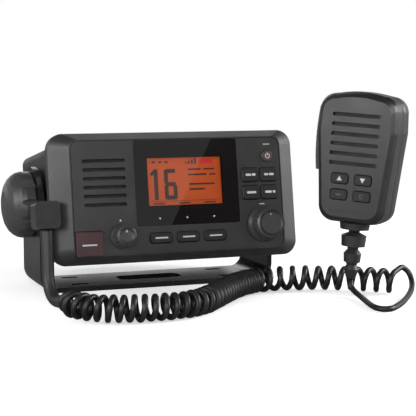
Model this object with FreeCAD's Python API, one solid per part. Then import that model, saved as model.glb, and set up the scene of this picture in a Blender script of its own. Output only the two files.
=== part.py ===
import FreeCAD, Part
import math
import os

from FreeCAD import Vector

os.makedirs("parts", exist_ok=True)

# VHF marine radio with a fist microphone on a curly cord, on its gimbal bracket.
# The origin is the bottom centre of the bracket base, +X to the user's right, +Y to the back, +Z up.
# The radio is drawn in its own frame, whose origin is the gimbal axis, then tilted back about it.

# Gimbal bracket
BRACKET_DEPTH = 51.0
BRACKET_PLATE = 3.5
BRACKET_BEND = 12.0
AXIS_HEIGHT = 58.0
BASE_SLOT_RADIUS = 2.6
BASE_SLOT_LENGTH = 12.0
BASE_SLOT_PITCH_X = 108.0
BASE_SLOT_PITCH_Y = 29.0
BASE_WINDOW_LENGTH = 46.0
BASE_WINDOW_WIDTH = 18.0
REST_TILT = 9.5

# Front bezel; what lies on the face keeps its share of the width and height
BEZEL_WIDTH = 170.0
BEZEL_HEIGHT = 85.0
ACROSS = BEZEL_WIDTH / 170.0
UPRIGHT = BEZEL_HEIGHT / 85.0
BEZEL_CENTRE_Z = -1.5
BEZEL_CORNER = 10.0
RIM_Y = -59.5
RIM_DEPTH = 6.0
BEVEL_DEPTH = 9.0
BEVEL_SIDE = 12.0
BEVEL_TOP = 5.0
FACE_CORNER = 6.0
FACE_WALL = 3.2
BEZEL_WALL = 2.5
FACE_GROOVE = 0.8

# Window and display
WINDOW_WIDTH = 71.5 * ACROSS
WINDOW_HEIGHT = 55.8 * UPRIGHT
WINDOW_X = 5.5 * ACROSS
WINDOW_Z = 7.0 * UPRIGHT
WINDOW_THICK = 2.0
WINDOW_FRAME = 5.0
LCD_WIDTH = 60.0 * ACROSS
LCD_HEIGHT = 40.0 * UPRIGHT
LCD_THICK = 3.0
LCD_X = 3.6 * ACROSS
LCD_Z = 7.6 * UPRIGHT

# Speaker grille
SLOT_COUNT = 6
SLOT_LENGTH = 28.6 * ACROSS
SLOT_HEIGHT = 2.3
SLOT_PITCH = 5.66 * UPRIGHT
GRILLE_X = -50.6 * ACROSS
GRILLE_Z = 8.0 * UPRIGHT
SPEAKER_RADIUS = 18.5
SPEAKER_DEPTH = 15.0
MAGNET_RADIUS = 10.0
MESH_THICK = 0.5

# Knobs on the face
VOLUME_X = -41.5 * ACROSS
VOLUME_Z = -26.8 * UPRIGHT
VOLUME_SKIRT = 7.8
VOLUME_CAP = 6.7
CHANNEL_X = 58.0 * ACROSS
CHANNEL_Z = -23.0 * UPRIGHT
CHANNEL_SKIRT = 12.0
CHANNEL_CAP = 10.0
KNOB_HEIGHT = 12.5
KNOB_FACE_GAP = 1.2
KNOB_FLUTE = 0.7
SHAFT_RADIUS = 3.0
PUSH_TRAVEL = 0.8
ENCODER_SIDE = 12.0
PLUNGER_RADIUS = 4.0

# Keys
KEY_GAP = 0.3
KEY_PROUD = 1.3
KEY_TRAVEL = 0.9
KEY_BACK = 0.6
KEY_WIDTH = 12.4 * ACROSS
KEY_HEIGHT = 9.4 * UPRIGHT
KEY_COLUMN_X = (50.2 * ACROSS, 63.6 * ACROSS)
KEY_ROW_Z = (10.2 * UPRIGHT, -1.6 * UPRIGHT)
ROUND_KEY_X = 63.2 * ACROSS
ROUND_KEY_Z = 22.6 * UPRIGHT
ROUND_KEY_RADIUS = 4.0
SOFT_KEY_X = (-14.6 * ACROSS, 4.2 * ACROSS, 23.0 * ACROSS)
SOFT_KEY_Z = -29.0 * UPRIGHT
SOFT_KEY_WIDTH = 15.4 * ACROSS
SOFT_KEY_HEIGHT = 7.0 * UPRIGHT

# Distress cover and button
COVER_X = -62.8 * ACROSS
COVER_Z = -30.7 * UPRIGHT
COVER_WIDTH = 17.8 * ACROSS
COVER_HEIGHT = 16.0 * UPRIGHT
COVER_PLATE = 1.8
COVER_POCKET = 5.0
COVER_GAP = 0.25
COVER_POCKET_CORNER = 0.3
POCKET_FLOOR = 1.4
DISTRESS_REACH = 0.6
HINGE_RADIUS = 1.3
HINGE_PIN = 0.6
DISTRESS_WIDTH = 10.0 * ACROSS
DISTRESS_HEIGHT = 7.0 * UPRIGHT

# Rear chassis
CHASSIS_SIDE_INSET = 8.0
CHASSIS_TOP_INSET = 4.0
CHASSIS_CORNER = 6.0
CHASSIS_WALL = 3.0
CHASSIS_BACK = 52.0
FLANGE_THICK = 3.0
FLANGE_INSET = 0.8
GASKET_THICK = 1.0
FIN_DEPTH = 8.0
FIN_THICK = 2.0
FIN_PITCH = 7.5 * ACROSS
FIN_COUNT = 13
FIN_X = -70.0 * ACROSS
SCREW_RADIUS = 1.5
SCREW_HEAD = 2.8
SCREW_LENGTH = 10.0
SCREW_INSET_X = 5.6
SCREW_INSET_Z = 7.0
BOSS_RADIUS = 3.2

# Boards and radio parts inside
BOARD_THICK = 1.6
BOARD_GAP = 4.6
MAIN_BOARD_Z = -32.0 * UPRIGHT
MAIN_BOARD_SIDE_GAP = 7.0
MAIN_BOARD_FRONT_GAP = 3.0
MAIN_BOARD_REAR_GAP = 7.5
POST_INSET = 5.0
SHIELD_WIDTH = 62.0 * ACROSS
SHIELD_DEPTH = 46.0
SHIELD_HEIGHT = 15.0
SHIELD_WALL = 0.8

# Rear connectors
ANTENNA_X = 48.0 * ACROSS
ANTENNA_Z = 12.0 * UPRIGHT
ANTENNA_RADIUS = 7.9
ANTENNA_LENGTH = 14.0
ANTENNA_FLANGE = 25.4
ANTENNA_FLANGE_THICK = 3.0
POWER_X = 48.0 * ACROSS
POWER_Z = -22.0 * UPRIGHT
POWER_RADIUS = 7.0
POWER_BORE = 3.0
POWER_LENGTH = 14.0

# Gimbal knobs
TILT_KNOB_RADIUS = 22.5
TILT_KNOB_THICK = 19.0
TILT_KNOB_LOBES = 12
WASHER_RADIUS = 14.0
WASHER_THICK = 2.9
STUD_RADIUS = 4.0
STUD_CLEARANCE = 0.05
STUD_REACH = 16.0
INSERT_RADIUS = 6.5
SIDE_CLEARANCE = 0.3

# Cord exit on the bezel
GLAND_WIDTH = 16.0
GLAND_HEIGHT = 17.5
GLAND_DEPTH = 15.0
GLAND_STAND_OFF = 3.5
GLAND_X = -BEZEL_WIDTH / 2 - GLAND_STAND_OFF
GLAND_Z = -11.0 * UPRIGHT
GLAND_CORNER = 3.0

# Curly cord
WIRE_RADIUS = 1.75
COIL_RADIUS = 7.0
COIL_SIDES = 6
LEAD_RADIUS = 4.0
LEAD_FIRST_RUN = 17.0
LOOP_END_RUN = 5.5
PITCH_LEFT = 6.3
PITCH_MIDDLE = 5.0
PITCH_RIGHT = 8.8
PITCH_TURN_1 = 0.42
PITCH_TURN_2 = 0.66
COIL_LEAD_IN = 3.5
COIL_RAMP = 8.0

# Microphone, in its own frame: front toward -Y, origin at the bottom centre of its body
MIC_PLACE = (108.6, -105.9, 49.3)
MIC_TURN = 49.0
MIC_TIP = 2.0
MIC_LEAN = 3.5
MIC_HEIGHT = 86.0
MIC_TOP_HALF = 28.0
MIC_BOTTOM_HALF = 23.5
MIC_FRONT_DEPTH = 13.0
MIC_REAR_DEPTH = 14.0
MIC_CORNER = 11.0
MIC_BEVEL = 4.0
MIC_WALL = 2.0
MIC_BOARD_INSET = 10.0
MIC_BOARD_Y = -6.8
CAPSULE_RADIUS = 4.8
CAPSULE_THICK = 4.0
MIC_SCREW_INSET_X = 12.0
MIC_SCREW_INSET_Z = 12.0
MIC_SCREW_SINK = 1.0
MIC_SCREW_REACH = 8.0
MIC_SEAM = 0.3
MIC_SLOT_COUNT = 6
MIC_SLOT_LENGTH = 33.0
MIC_SLOT_HEIGHT = 2.5
MIC_SLOT_PITCH = 6.3
MIC_SLOT_TOP = 70.5
MIC_KEY_X = 8.0
MIC_KEY_Z = (29.0, 18.5)
MIC_KEY_WIDTH = 12.0
MIC_KEY_HEIGHT = 7.0
PTT_HEIGHT = 42.0
PTT_DEPTH = 13.0
PTT_Z = 54.0
PTT_PROUD = 2.2
STUD_HEAD_RADIUS = 7.5
STUD_NECK_RADIUS = 4.0
HANG_STUD_Z = 60.0
BOOT_COLLARS = ((0.3, 10.0, 4.0), (8.5, 8.3, 7.0), (20.5, 5.9, 5.6))
BOOT_NECK = 3.4
BOOT_LENGTH = 37.0
LIFT_GAP = 0.3

# Route of the lead from the gland to the coil, chosen by hand
LEAD_ROUTE = (
    (-89.0, -68.6, 14.0), (-87.5, -78.0, 4.8), (-84.0, -91.0, 6.4), (-86.0, -104.0, 8.2),
)
# Route of the coil's middle line
COIL_ROUTE = (
    (-86.0, -104.0, 8.2), (-88.19, -118.2, 10.17), (-76.0, -133.0, 9.0), (-58.0, -140.0, 9.0), (-37.0, -142.0, 9.0),
    (-13.0, -138.0, 9.0), (8.0, -115.0, 9.0), (32.0, -85.0, 9.0), (56.0, -70.0, 9.0), (84.0, -73.0, 9.0),
    (110.0, -84.0, 9.0), (129.0, -100.0, 9.0), (138.0, -108.7, 9.0),
)
# Route of the loop from the coil to the microphone
LOOP_ROUTE = (
    (150.8, -103.1, 11.9), (153.3, -105.6, 6.1), (151.0, -110.6, 2.6), (141.0, -122.4, 2.3), (129.0, -135.5, 2.4),
    (120.5, -147.5, 2.2), (115.0, -156.5, 2.2), (106.3, -162.0, 2.2), (98.3, -157.0, 2.2), (97.6, -146.0, 2.2),
    (99.6, -134.5, 2.2), (103.0, -122.5, 2.3), (105.0, -112.3, 2.8),
)

CHASSIS_WIDTH = BEZEL_WIDTH - 2 * CHASSIS_SIDE_INSET
CHASSIS_HEIGHT = BEZEL_HEIGHT - 2 * CHASSIS_TOP_INSET
BRACKET_WIDTH = CHASSIS_WIDTH + 2 * (BRACKET_PLATE + WASHER_THICK + 2 * SIDE_CLEARANCE)
FACE_Y = RIM_Y - BEVEL_DEPTH
INNER_FACE_Y = FACE_Y + FACE_WALL
BEZEL_REAR_Y = RIM_Y + RIM_DEPTH
FLANGE_Y = BEZEL_REAR_Y + GASKET_THICK
CHASSIS_FRONT_Y = FLANGE_Y + FLANGE_THICK
BOARD_Y = INNER_FACE_Y + BOARD_GAP
MAIN_BOARD_Y = CHASSIS_FRONT_Y + MAIN_BOARD_FRONT_GAP
MAIN_BOARD_WIDTH = CHASSIS_WIDTH - 2 * (CHASSIS_WALL + MAIN_BOARD_SIDE_GAP)
MAIN_BOARD_DEPTH = CHASSIS_BACK - CHASSIS_WALL - MAIN_BOARD_REAR_GAP - MAIN_BOARD_Y
HALF_WIDTH = BEZEL_WIDTH / 2
HALF_HEIGHT = BEZEL_HEIGHT / 2
FACE_HALF_WIDTH = HALF_WIDTH - BEVEL_SIDE
FACE_HALF_HEIGHT = HALF_HEIGHT - BEVEL_TOP
KNOB_BACK_Y = FACE_Y - KNOB_FACE_GAP
AXIS_POINT = Vector(0, 0, AXIS_HEIGHT)
ARM_INNER = BRACKET_WIDTH / 2 - BRACKET_PLATE
SCREW_PLACES = [
    (sx * (HALF_WIDTH - SCREW_INSET_X), BEZEL_CENTRE_Z + sz * (HALF_HEIGHT - SCREW_INSET_Z))
    for sx in (-1, 1) for sz in (-1, 1)
]


def rounded_wire(cx, cz, half_w, half_h, radius, y):
    """Closed rounded rectangle in the plane y, round corners made of arcs."""
    r = min(radius, half_w * 0.98, half_h * 0.98)
    k = r * (1 - math.sqrt(0.5))
    x0, x1, z0, z1 = cx - half_w, cx + half_w, cz - half_h, cz + half_h
    corners = (
        ((x0 + r, z0), (x1 - r, z0), (x1 - k, z0 + k), (x1, z0 + r)),
        ((x1, z0 + r), (x1, z1 - r), (x1 - k, z1 - k), (x1 - r, z1)),
        ((x1 - r, z1), (x0 + r, z1), (x0 + k, z1 - k), (x0, z1 - r)),
        ((x0, z1 - r), (x0, z0 + r), (x0 + k, z0 + k), (x0 + r, z0)),
    )
    edges = []
    for start, end, middle, finish in corners:
        a, b, m, f = (Vector(p[0], y, p[1]) for p in (start, end, middle, finish))
        edges.append(Part.LineSegment(a, b).toShape())
        edges.append(Part.Arc(b, m, f).toShape())
    return Part.Wire(edges)


def rounded_block(cx, cz, width, height, radius, y0, y1):
    """Rounded rectangle seen from the front, from y0 back to y1."""
    face = Part.Face(rounded_wire(cx, cz, width / 2, height / 2, radius, y0))
    return face.extrude(Vector(0, y1 - y0, 0))


def block(x0, x1, y0, y1, z0, z1):
    return Part.makeBox(x1 - x0, y1 - y0, z1 - z0, Vector(x0, y0, z0))


def rod_y(x, z, radius, y0, y1):
    return Part.makeCylinder(radius, y1 - y0, Vector(x, y0, z), Vector(0, 1, 0))


def rod_x(y, z, radius, x0, x1):
    return Part.makeCylinder(radius, x1 - x0, Vector(x0, y, z), Vector(1, 0, 0))


def turned(profile, origin, direction):
    """Solid of revolution of (radius, height) points, its height along direction from origin."""
    points = [Vector(r, 0, h) for r, h in profile]
    wire = Part.makePolygon(points + [points[0]])
    solid = Part.Face(wire).revolve(Vector(0, 0, 0), Vector(0, 0, 1), 360)
    solid.Placement = FreeCAD.Placement(origin, FreeCAD.Rotation(Vector(0, 0, 1), direction))
    return solid


def in_radio(shape):
    """Moves a shape from the radio's own frame to its tilted place in the bracket."""
    placed = shape.copy()
    placed.Placement = FreeCAD.Placement(AXIS_POINT, FreeCAD.Rotation(Vector(1, 0, 0), -REST_TILT)).multiply(
        placed.Placement)
    return placed


def mic_rotation():
    turn = FreeCAD.Rotation(Vector(0, 0, 1), -MIC_TURN)
    tip = FreeCAD.Rotation(Vector(1, 0, 0), -MIC_TIP)
    lean = FreeCAD.Rotation(Vector(0, 1, 0), MIC_LEAN)
    return turn.multiply(tip).multiply(lean)


def in_mic(shape):
    """Moves a shape from the microphone's own frame to where the microphone stands."""
    placed = shape.copy()
    placed.Placement = FreeCAD.Placement(Vector(*MIC_PLACE), mic_rotation()).multiply(placed.Placement)
    return placed


def save(name, shape):
    shape.exportStep("parts/%s.step" % name)
    print("%-24s %8.2f cm3" % (name, shape.Volume / 1000))


def gimbal_bracket():
    """U-shaped plate: flat base, bent corners and two arms with round heads at the tilt axis."""
    head = BRACKET_DEPTH / 2
    top = AXIS_HEIGHT + head
    outer = rounded_block(0, top / 2 + head, BRACKET_WIDTH, top + 2 * head, BRACKET_BEND, -head, head)
    inner_width = 2 * ARM_INNER
    inner = rounded_block(0, top / 2 + head + BRACKET_PLATE, inner_width, top + 2 * head,
                          BRACKET_BEND - BRACKET_PLATE, -head, head)
    strap = outer.cut(inner)
    side = Part.makeBox(BRACKET_WIDTH, BRACKET_DEPTH, AXIS_HEIGHT, Vector(-BRACKET_WIDTH / 2, -head, 0))
    side = side.fuse(rod_x(0, AXIS_HEIGHT, head, -BRACKET_WIDTH / 2, BRACKET_WIDTH / 2))
    body = strap.common(side)
    body = body.cut(rod_x(0, AXIS_HEIGHT, STUD_RADIUS + 0.6, -BRACKET_WIDTH, BRACKET_WIDTH))
    half_slot = BASE_SLOT_LENGTH / 2 - BASE_SLOT_RADIUS
    for sx in (-1, 1):
        for sy in (-1, 1):
            x, y = sx * BASE_SLOT_PITCH_X / 2, sy * BASE_SLOT_PITCH_Y / 2
            slot = Part.makeBox(2 * half_slot, 2 * BASE_SLOT_RADIUS, BRACKET_PLATE * 3,
                                Vector(x - half_slot, y - BASE_SLOT_RADIUS, -BRACKET_PLATE))
            for end in (-half_slot, half_slot):
                slot = slot.fuse(Part.makeCylinder(BASE_SLOT_RADIUS, BRACKET_PLATE * 3,
                                                   Vector(x + end, y, -BRACKET_PLATE)))
            body = body.cut(slot)
    window = Part.makeBox(BASE_WINDOW_LENGTH, BASE_WINDOW_WIDTH, BRACKET_PLATE * 3,
                          Vector(-BASE_WINDOW_LENGTH / 2, -BASE_WINDOW_WIDTH / 2, -BRACKET_PLATE))
    upright = [e for e in window.Edges if abs(e.Vertexes[0].Z - e.Vertexes[1].Z) > BRACKET_PLATE]
    return body.cut(window.makeFillet(BASE_WINDOW_WIDTH / 3, upright)).removeSplitter()


def tilt_washer(side):
    """Rubber washer between the arm and the chassis."""
    start = CHASSIS_WIDTH / 2 + SIDE_CLEARANCE
    ring = turned([(STUD_RADIUS + 0.4, 0), (WASHER_RADIUS - 1, 0), (WASHER_RADIUS, 1),
                   (WASHER_RADIUS, WASHER_THICK), (STUD_RADIUS + 0.4, WASHER_THICK)],
                  Vector(side * start, 0, 0), Vector(side, 0, 0))
    return ring


def tilt_insert(side):
    """Threaded brass insert moulded into the chassis side."""
    outside = CHASSIS_WIDTH / 2
    return turned([(STUD_RADIUS + STUD_CLEARANCE, 0), (INSERT_RADIUS, 0), (INSERT_RADIUS, STUD_REACH),
                   (STUD_RADIUS + STUD_CLEARANCE, STUD_REACH)],
                  Vector(side * outside, 0, 0), Vector(-side, 0, 0))


def tilt_knob(side):
    """Large domed clamping knob with shallow finger lobes."""
    start = BRACKET_WIDTH / 2 + SIDE_CLEARANCE
    r, t = TILT_KNOB_RADIUS, TILT_KNOB_THICK
    profile = [(0, 0), (r - 1, 0), (r, 1), (r, t * 0.36), (r - 0.8, t * 0.52), (r - 2.4, t * 0.66),
               (r - 4.8, t * 0.79), (r - 8.4, t * 0.9), (r - 13, t * 0.97), (0, t)]
    knob = turned(profile, Vector(side * start, 0, 0), Vector(side, 0, 0))
    for index in range(TILT_KNOB_LOBES):
        angle = 2 * math.pi * index / TILT_KNOB_LOBES
        y, z = (r + 1.9) * math.cos(angle), (r + 1.9) * math.sin(angle)
        low, high = sorted((side * start, side * (start + t * 0.5)))
        knob = knob.cut(rod_x(y, z, 2.9, low - 0.5, high))
    bore_start, bore_end = sorted((side * (start - 1), side * (start + t * 0.5)))
    return knob.cut(rod_x(0, 0, STUD_RADIUS, bore_start, bore_end))


def tilt_stud(side):
    """Steel stud held in the knob, passing through the arm and the washer into the insert."""
    start = BRACKET_WIDTH / 2 + SIDE_CLEARANCE + TILT_KNOB_THICK * 0.5
    end = CHASSIS_WIDTH / 2 - STUD_REACH + 2
    low, high = sorted((side * end, side * start))
    return rod_x(0, 0, STUD_RADIUS, low, high)


def face_openings():
    """Everything cut through the face: slots, window, key holes, shaft holes and the distress pocket."""
    cuts = []
    for index in range(SLOT_COUNT):
        z = GRILLE_Z + (index - (SLOT_COUNT - 1) / 2) * SLOT_PITCH
        cuts.append(rounded_block(GRILLE_X, z, SLOT_LENGTH, SLOT_HEIGHT, SLOT_HEIGHT / 2 - 0.05,
                                  FACE_Y - 1, INNER_FACE_Y + 1))
    pocket = WINDOW_THICK + 0.1
    cuts.append(rounded_block(WINDOW_X, WINDOW_Z, WINDOW_WIDTH + 0.2, WINDOW_HEIGHT + 0.2, 1.6,
                              FACE_Y - 1, FACE_Y + pocket))
    cuts.append(rounded_block(WINDOW_X, WINDOW_Z, WINDOW_WIDTH - 2 * WINDOW_FRAME,
                              WINDOW_HEIGHT - 2 * WINDOW_FRAME, 1.6, FACE_Y - 1, INNER_FACE_Y + 1))
    for x, z, width, height, radius in all_face_keys():
        cuts.append(rounded_block(x, z, width + 2 * KEY_GAP, height + 2 * KEY_GAP, radius + KEY_GAP,
                                  FACE_Y - 1, INNER_FACE_Y + 1))
    for x, z in ((VOLUME_X, VOLUME_Z), (CHANNEL_X, CHANNEL_Z)):
        cuts.append(rod_y(x, z, SHAFT_RADIUS + 0.6, FACE_Y - 1, INNER_FACE_Y + 1))
    cuts.append(rounded_block(COVER_X, COVER_Z, COVER_WIDTH + 2 * COVER_GAP, COVER_HEIGHT + 2 * COVER_GAP,
                              COVER_POCKET_CORNER, FACE_Y - 1, FACE_Y + COVER_POCKET))
    cuts.append(rounded_block(COVER_X, COVER_Z, DISTRESS_WIDTH + 2 * KEY_GAP, DISTRESS_HEIGHT + 2 * KEY_GAP,
                              1.2, FACE_Y - 1, FACE_Y + COVER_POCKET + 2))
    cuts.append(rod_x(hinge_y(), hinge_z(), HINGE_PIN, COVER_X - COVER_WIDTH / 2 - 1.4,
                      COVER_X + COVER_WIDTH / 2 + 1.4))
    return cuts


def hinge_y():
    return FACE_Y + 0.4


def hinge_z():
    return COVER_Z + COVER_HEIGHT / 2 - HINGE_RADIUS


def all_face_keys():
    """Place, size and corner of each key that stands in the face."""
    keys = [(x, z, KEY_WIDTH, KEY_HEIGHT, 1.8) for z in KEY_ROW_Z for x in KEY_COLUMN_X]
    keys.append((ROUND_KEY_X, ROUND_KEY_Z, 2 * ROUND_KEY_RADIUS, 2 * ROUND_KEY_RADIUS, ROUND_KEY_RADIUS - 0.05))
    keys += [(x, SOFT_KEY_Z, SOFT_KEY_WIDTH, SOFT_KEY_HEIGHT, 2.2) for x in SOFT_KEY_X]
    return keys


def front_bezel():
    """Moulded bezel: wide bevels around a flat face, hollow behind, with four screw bosses."""
    rim = [rounded_wire(0, BEZEL_CENTRE_Z, HALF_WIDTH, HALF_HEIGHT, BEZEL_CORNER, y) for y in (BEZEL_REAR_Y, RIM_Y)]
    face = rounded_wire(0, BEZEL_CENTRE_Z, FACE_HALF_WIDTH, FACE_HALF_HEIGHT, FACE_CORNER, FACE_Y)
    body = Part.makeLoft(rim + [face], True, True)
    wall = BEZEL_WALL
    inner = [rounded_wire(0, BEZEL_CENTRE_Z, HALF_WIDTH - wall, HALF_HEIGHT - wall, BEZEL_CORNER - wall, y)
             for y in (BEZEL_REAR_Y + 1, RIM_Y - 0.6)]
    inner.append(rounded_wire(0, BEZEL_CENTRE_Z, FACE_HALF_WIDTH - 0.5, FACE_HALF_HEIGHT - 1.0,
                              FACE_CORNER - 1.5, INNER_FACE_Y))
    body = body.cut(Part.makeLoft(inner, True, True))
    for x, z in SCREW_PLACES:
        body = body.fuse(rod_y(x, z, BOSS_RADIUS, BEZEL_REAR_Y - SCREW_LENGTH + 1, BEZEL_REAR_Y).common(
            Part.makeLoft(rim + [face], True, True)))
    pocket_back = FACE_Y + COVER_POCKET + POCKET_FLOOR
    body = body.fuse(rounded_block(COVER_X + 0.6, COVER_Z + 0.4, COVER_WIDTH + 3.2, COVER_HEIGHT + 3.2, 1.5,
                                   INNER_FACE_Y - 0.2, pocket_back))
    groove = rounded_block(0, BEZEL_CENTRE_Z, 2 * FACE_HALF_WIDTH - 1, 2 * FACE_HALF_HEIGHT - 1, FACE_CORNER - 0.5,
                           FACE_Y - 1, FACE_Y + FACE_GROOVE)
    island = rounded_block(0, BEZEL_CENTRE_Z, 2 * FACE_HALF_WIDTH - 2.4, 2 * FACE_HALF_HEIGHT - 2.4,
                           FACE_CORNER - 1.2, FACE_Y - 2, FACE_Y + 2)
    body = body.cut(groove.cut(island))
    for cut in face_openings():
        body = body.cut(cut)
    for x, z in SCREW_PLACES:
        body = body.cut(rod_y(x, z, SCREW_RADIUS, BEZEL_REAR_Y - SCREW_LENGTH + 4, BEZEL_REAR_Y + 1))
    return body.removeSplitter()


def display_window():
    return rounded_block(WINDOW_X, WINDOW_Z, WINDOW_WIDTH, WINDOW_HEIGHT, 1.5, FACE_Y - 0.1, FACE_Y + WINDOW_THICK)


def lcd_panel():
    y0 = INNER_FACE_Y + 0.2
    return block(LCD_X - LCD_WIDTH / 2, LCD_X + LCD_WIDTH / 2, y0, y0 + LCD_THICK,
                 LCD_Z - LCD_HEIGHT / 2, LCD_Z + LCD_HEIGHT / 2)


def grille_mesh():
    """Woven screen behind the speaker slots."""
    height = (SLOT_COUNT - 1) * SLOT_PITCH + SLOT_HEIGHT + 3
    return rounded_block(GRILLE_X, GRILLE_Z, SLOT_LENGTH + 3, height, 2, INNER_FACE_Y, INNER_FACE_Y + MESH_THICK)


def front_speaker():
    """Speaker with a pressed frame, a step to the magnet and a hollow cone."""
    r, d, m = SPEAKER_RADIUS, SPEAKER_DEPTH, MAGNET_RADIUS
    profile = [(r, 0), (r, 1.5), (r * 0.72, d * 0.5), (m, d * 0.55), (m, d), (0, d), (0, d * 0.42),
               (r * 0.3, d * 0.4), (r - 2, 0.6), (r - 1.4, 0)]
    return turned(profile, Vector(GRILLE_X, INNER_FACE_Y + MESH_THICK, GRILLE_Z), Vector(0, 1, 0))


def front_circuit_board():
    """Board behind the face, cut away round the speaker."""
    x1 = FACE_HALF_WIDTH - 1.5
    low = BEZEL_CENTRE_Z - FACE_HALF_HEIGHT + 2
    high = BEZEL_CENTRE_Z + FACE_HALF_HEIGHT - 2
    board = block(-x1, x1, BOARD_Y, BOARD_Y + BOARD_THICK, low, high)
    relief = rod_y(GRILLE_X, GRILLE_Z, SPEAKER_RADIUS + 1, BOARD_Y - 1, BOARD_Y + BOARD_THICK + 1)
    corner = block(-x1 - 1, GRILLE_X, BOARD_Y - 1, BOARD_Y + BOARD_THICK + 1, GRILLE_Z - SPEAKER_RADIUS - 1, high + 1)
    upper = block(GRILLE_X - 1, GRILLE_X + SPEAKER_RADIUS + 1, BOARD_Y - 1, BOARD_Y + BOARD_THICK + 1,
                  GRILLE_Z, high + 1)
    return board.cut(relief).cut(corner).cut(upper)


def encoder(x, z):
    """Rotary encoder with its threaded neck, bored for the shaft and its push plunger."""
    half = ENCODER_SIDE / 2
    y0 = INNER_FACE_Y
    body = block(x - half, x + half, y0, BOARD_Y, z - half, z + half)
    body = body.fuse(rod_y(x, z, SHAFT_RADIUS + 0.5, FACE_Y + 0.6, y0 + 0.1))
    body = body.cut(rod_y(x, z, SHAFT_RADIUS + 0.05, FACE_Y, BOARD_Y - 0.6))
    return body.cut(rod_y(x, z, PLUNGER_RADIUS + 0.15, y0 + 1.0, BOARD_Y - 0.5))


def push_plunger(x, z):
    """Small disc under the shaft, pressed in with the knob."""
    back = BOARD_Y - 0.5 - PUSH_TRAVEL - 0.3
    return rod_y(x, z, PLUNGER_RADIUS, back - 1.2, back)


def control_shaft(x, z):
    front = KNOB_BACK_Y - KNOB_HEIGHT + 3
    back = BOARD_Y - 0.5 - PUSH_TRAVEL - 0.3 - 1.2 - 0.05
    return rod_y(x, z, SHAFT_RADIUS, front, back)


def control_knob(x, z, skirt, cap, flutes):
    """Knob with a flared skirt and a fluted grip, bored for its shaft."""
    h = KNOB_HEIGHT
    profile = [(0, 0), (skirt - 0.4, 0), (skirt, 0.5), (skirt - 0.3, 1.6), (cap + 0.9, 3.0), (cap + 0.35, 4.2),
               (cap, h - 1.2), (cap - 0.5, h - 0.4), (cap - 1.4, h), (cap - 3.0, h - 0.5), (0, h - 0.7)]
    knob = turned(profile, Vector(x, KNOB_BACK_Y, z), Vector(0, -1, 0))
    for index in range(flutes):
        angle = 2 * math.pi * (index + 0.5) / flutes
        px, pz = x + (cap + 0.45) * math.cos(angle), z + (cap + 0.45) * math.sin(angle)
        knob = knob.cut(rod_y(px, pz, KNOB_FLUTE, KNOB_BACK_Y - h - 1, KNOB_BACK_Y - 4.4))
    return knob.cut(rod_y(x, z, SHAFT_RADIUS + 0.02, KNOB_BACK_Y - h + 3, KNOB_BACK_Y + 1))


def face_key(x, z, width, height, radius):
    """Key cap with a bevelled top, standing proud of the face."""
    front = FACE_Y - KEY_PROUD
    sections = [
        rounded_wire(x, z, width / 2, height / 2, radius, INNER_FACE_Y + KEY_BACK),
        rounded_wire(x, z, width / 2, height / 2, radius, front + 0.7),
        rounded_wire(x, z, width / 2 - 0.6, height / 2 - 0.6, max(radius - 0.6, 0.6), front),
    ]
    return Part.makeLoft(sections, True, True)


def keypad_mat():
    """Silicone mat that the right-hand keys press on."""
    y0 = INNER_FACE_Y + KEY_BACK + KEY_TRAVEL + 0.3
    x0 = KEY_COLUMN_X[0] - KEY_WIDTH / 2
    x1 = KEY_COLUMN_X[1] + KEY_WIDTH / 2
    z0 = KEY_ROW_Z[1] - KEY_HEIGHT / 2
    z1 = ROUND_KEY_Z + ROUND_KEY_RADIUS
    return block(x0, x1, y0, BOARD_Y, z0, z1)


def soft_key_mat():
    y0 = INNER_FACE_Y + KEY_BACK + KEY_TRAVEL + 0.3
    x0 = SOFT_KEY_X[0] - SOFT_KEY_WIDTH / 2
    x1 = SOFT_KEY_X[-1] + SOFT_KEY_WIDTH / 2
    return block(x0, x1, y0, BOARD_Y, SOFT_KEY_Z - SOFT_KEY_HEIGHT / 2, SOFT_KEY_Z + SOFT_KEY_HEIGHT / 2)


def distress_cover():
    """Spring cover hinged at its top edge, with a finger lip at the bottom."""
    front = FACE_Y - 1.0
    half = COVER_WIDTH / 2
    z0 = COVER_Z - COVER_HEIGHT / 2
    plate = block(COVER_X - half, COVER_X + half, front, front + COVER_PLATE, z0, hinge_z())
    outline = rounded_block(COVER_X, COVER_Z, COVER_WIDTH, COVER_HEIGHT, 1.2, front - 1, front + COVER_PLATE + 1)
    plate = plate.common(outline)
    lip = block(COVER_X - half * 0.5, COVER_X + half * 0.5, front - 0.9, front + 0.1, z0 + 0.3, z0 + 1.9)
    barrel = rod_x(hinge_y(), hinge_z(), HINGE_RADIUS, COVER_X - half, COVER_X + half)
    cover = plate.fuse(lip).fuse(barrel)
    return cover.cut(rod_x(hinge_y(), hinge_z(), HINGE_PIN + 0.05, COVER_X - half - 1, COVER_X + half + 1))


def distress_hinge_pin():
    reach = COVER_WIDTH / 2 + 1.2
    return rod_x(hinge_y(), hinge_z(), HINGE_PIN, COVER_X - reach, COVER_X + reach)


def distress_button():
    back = FACE_Y + COVER_POCKET + POCKET_FLOOR + DISTRESS_REACH
    return rounded_block(COVER_X, COVER_Z, DISTRESS_WIDTH, DISTRESS_HEIGHT, 1.0, FACE_Y + COVER_PLATE + 0.6, back)


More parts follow.
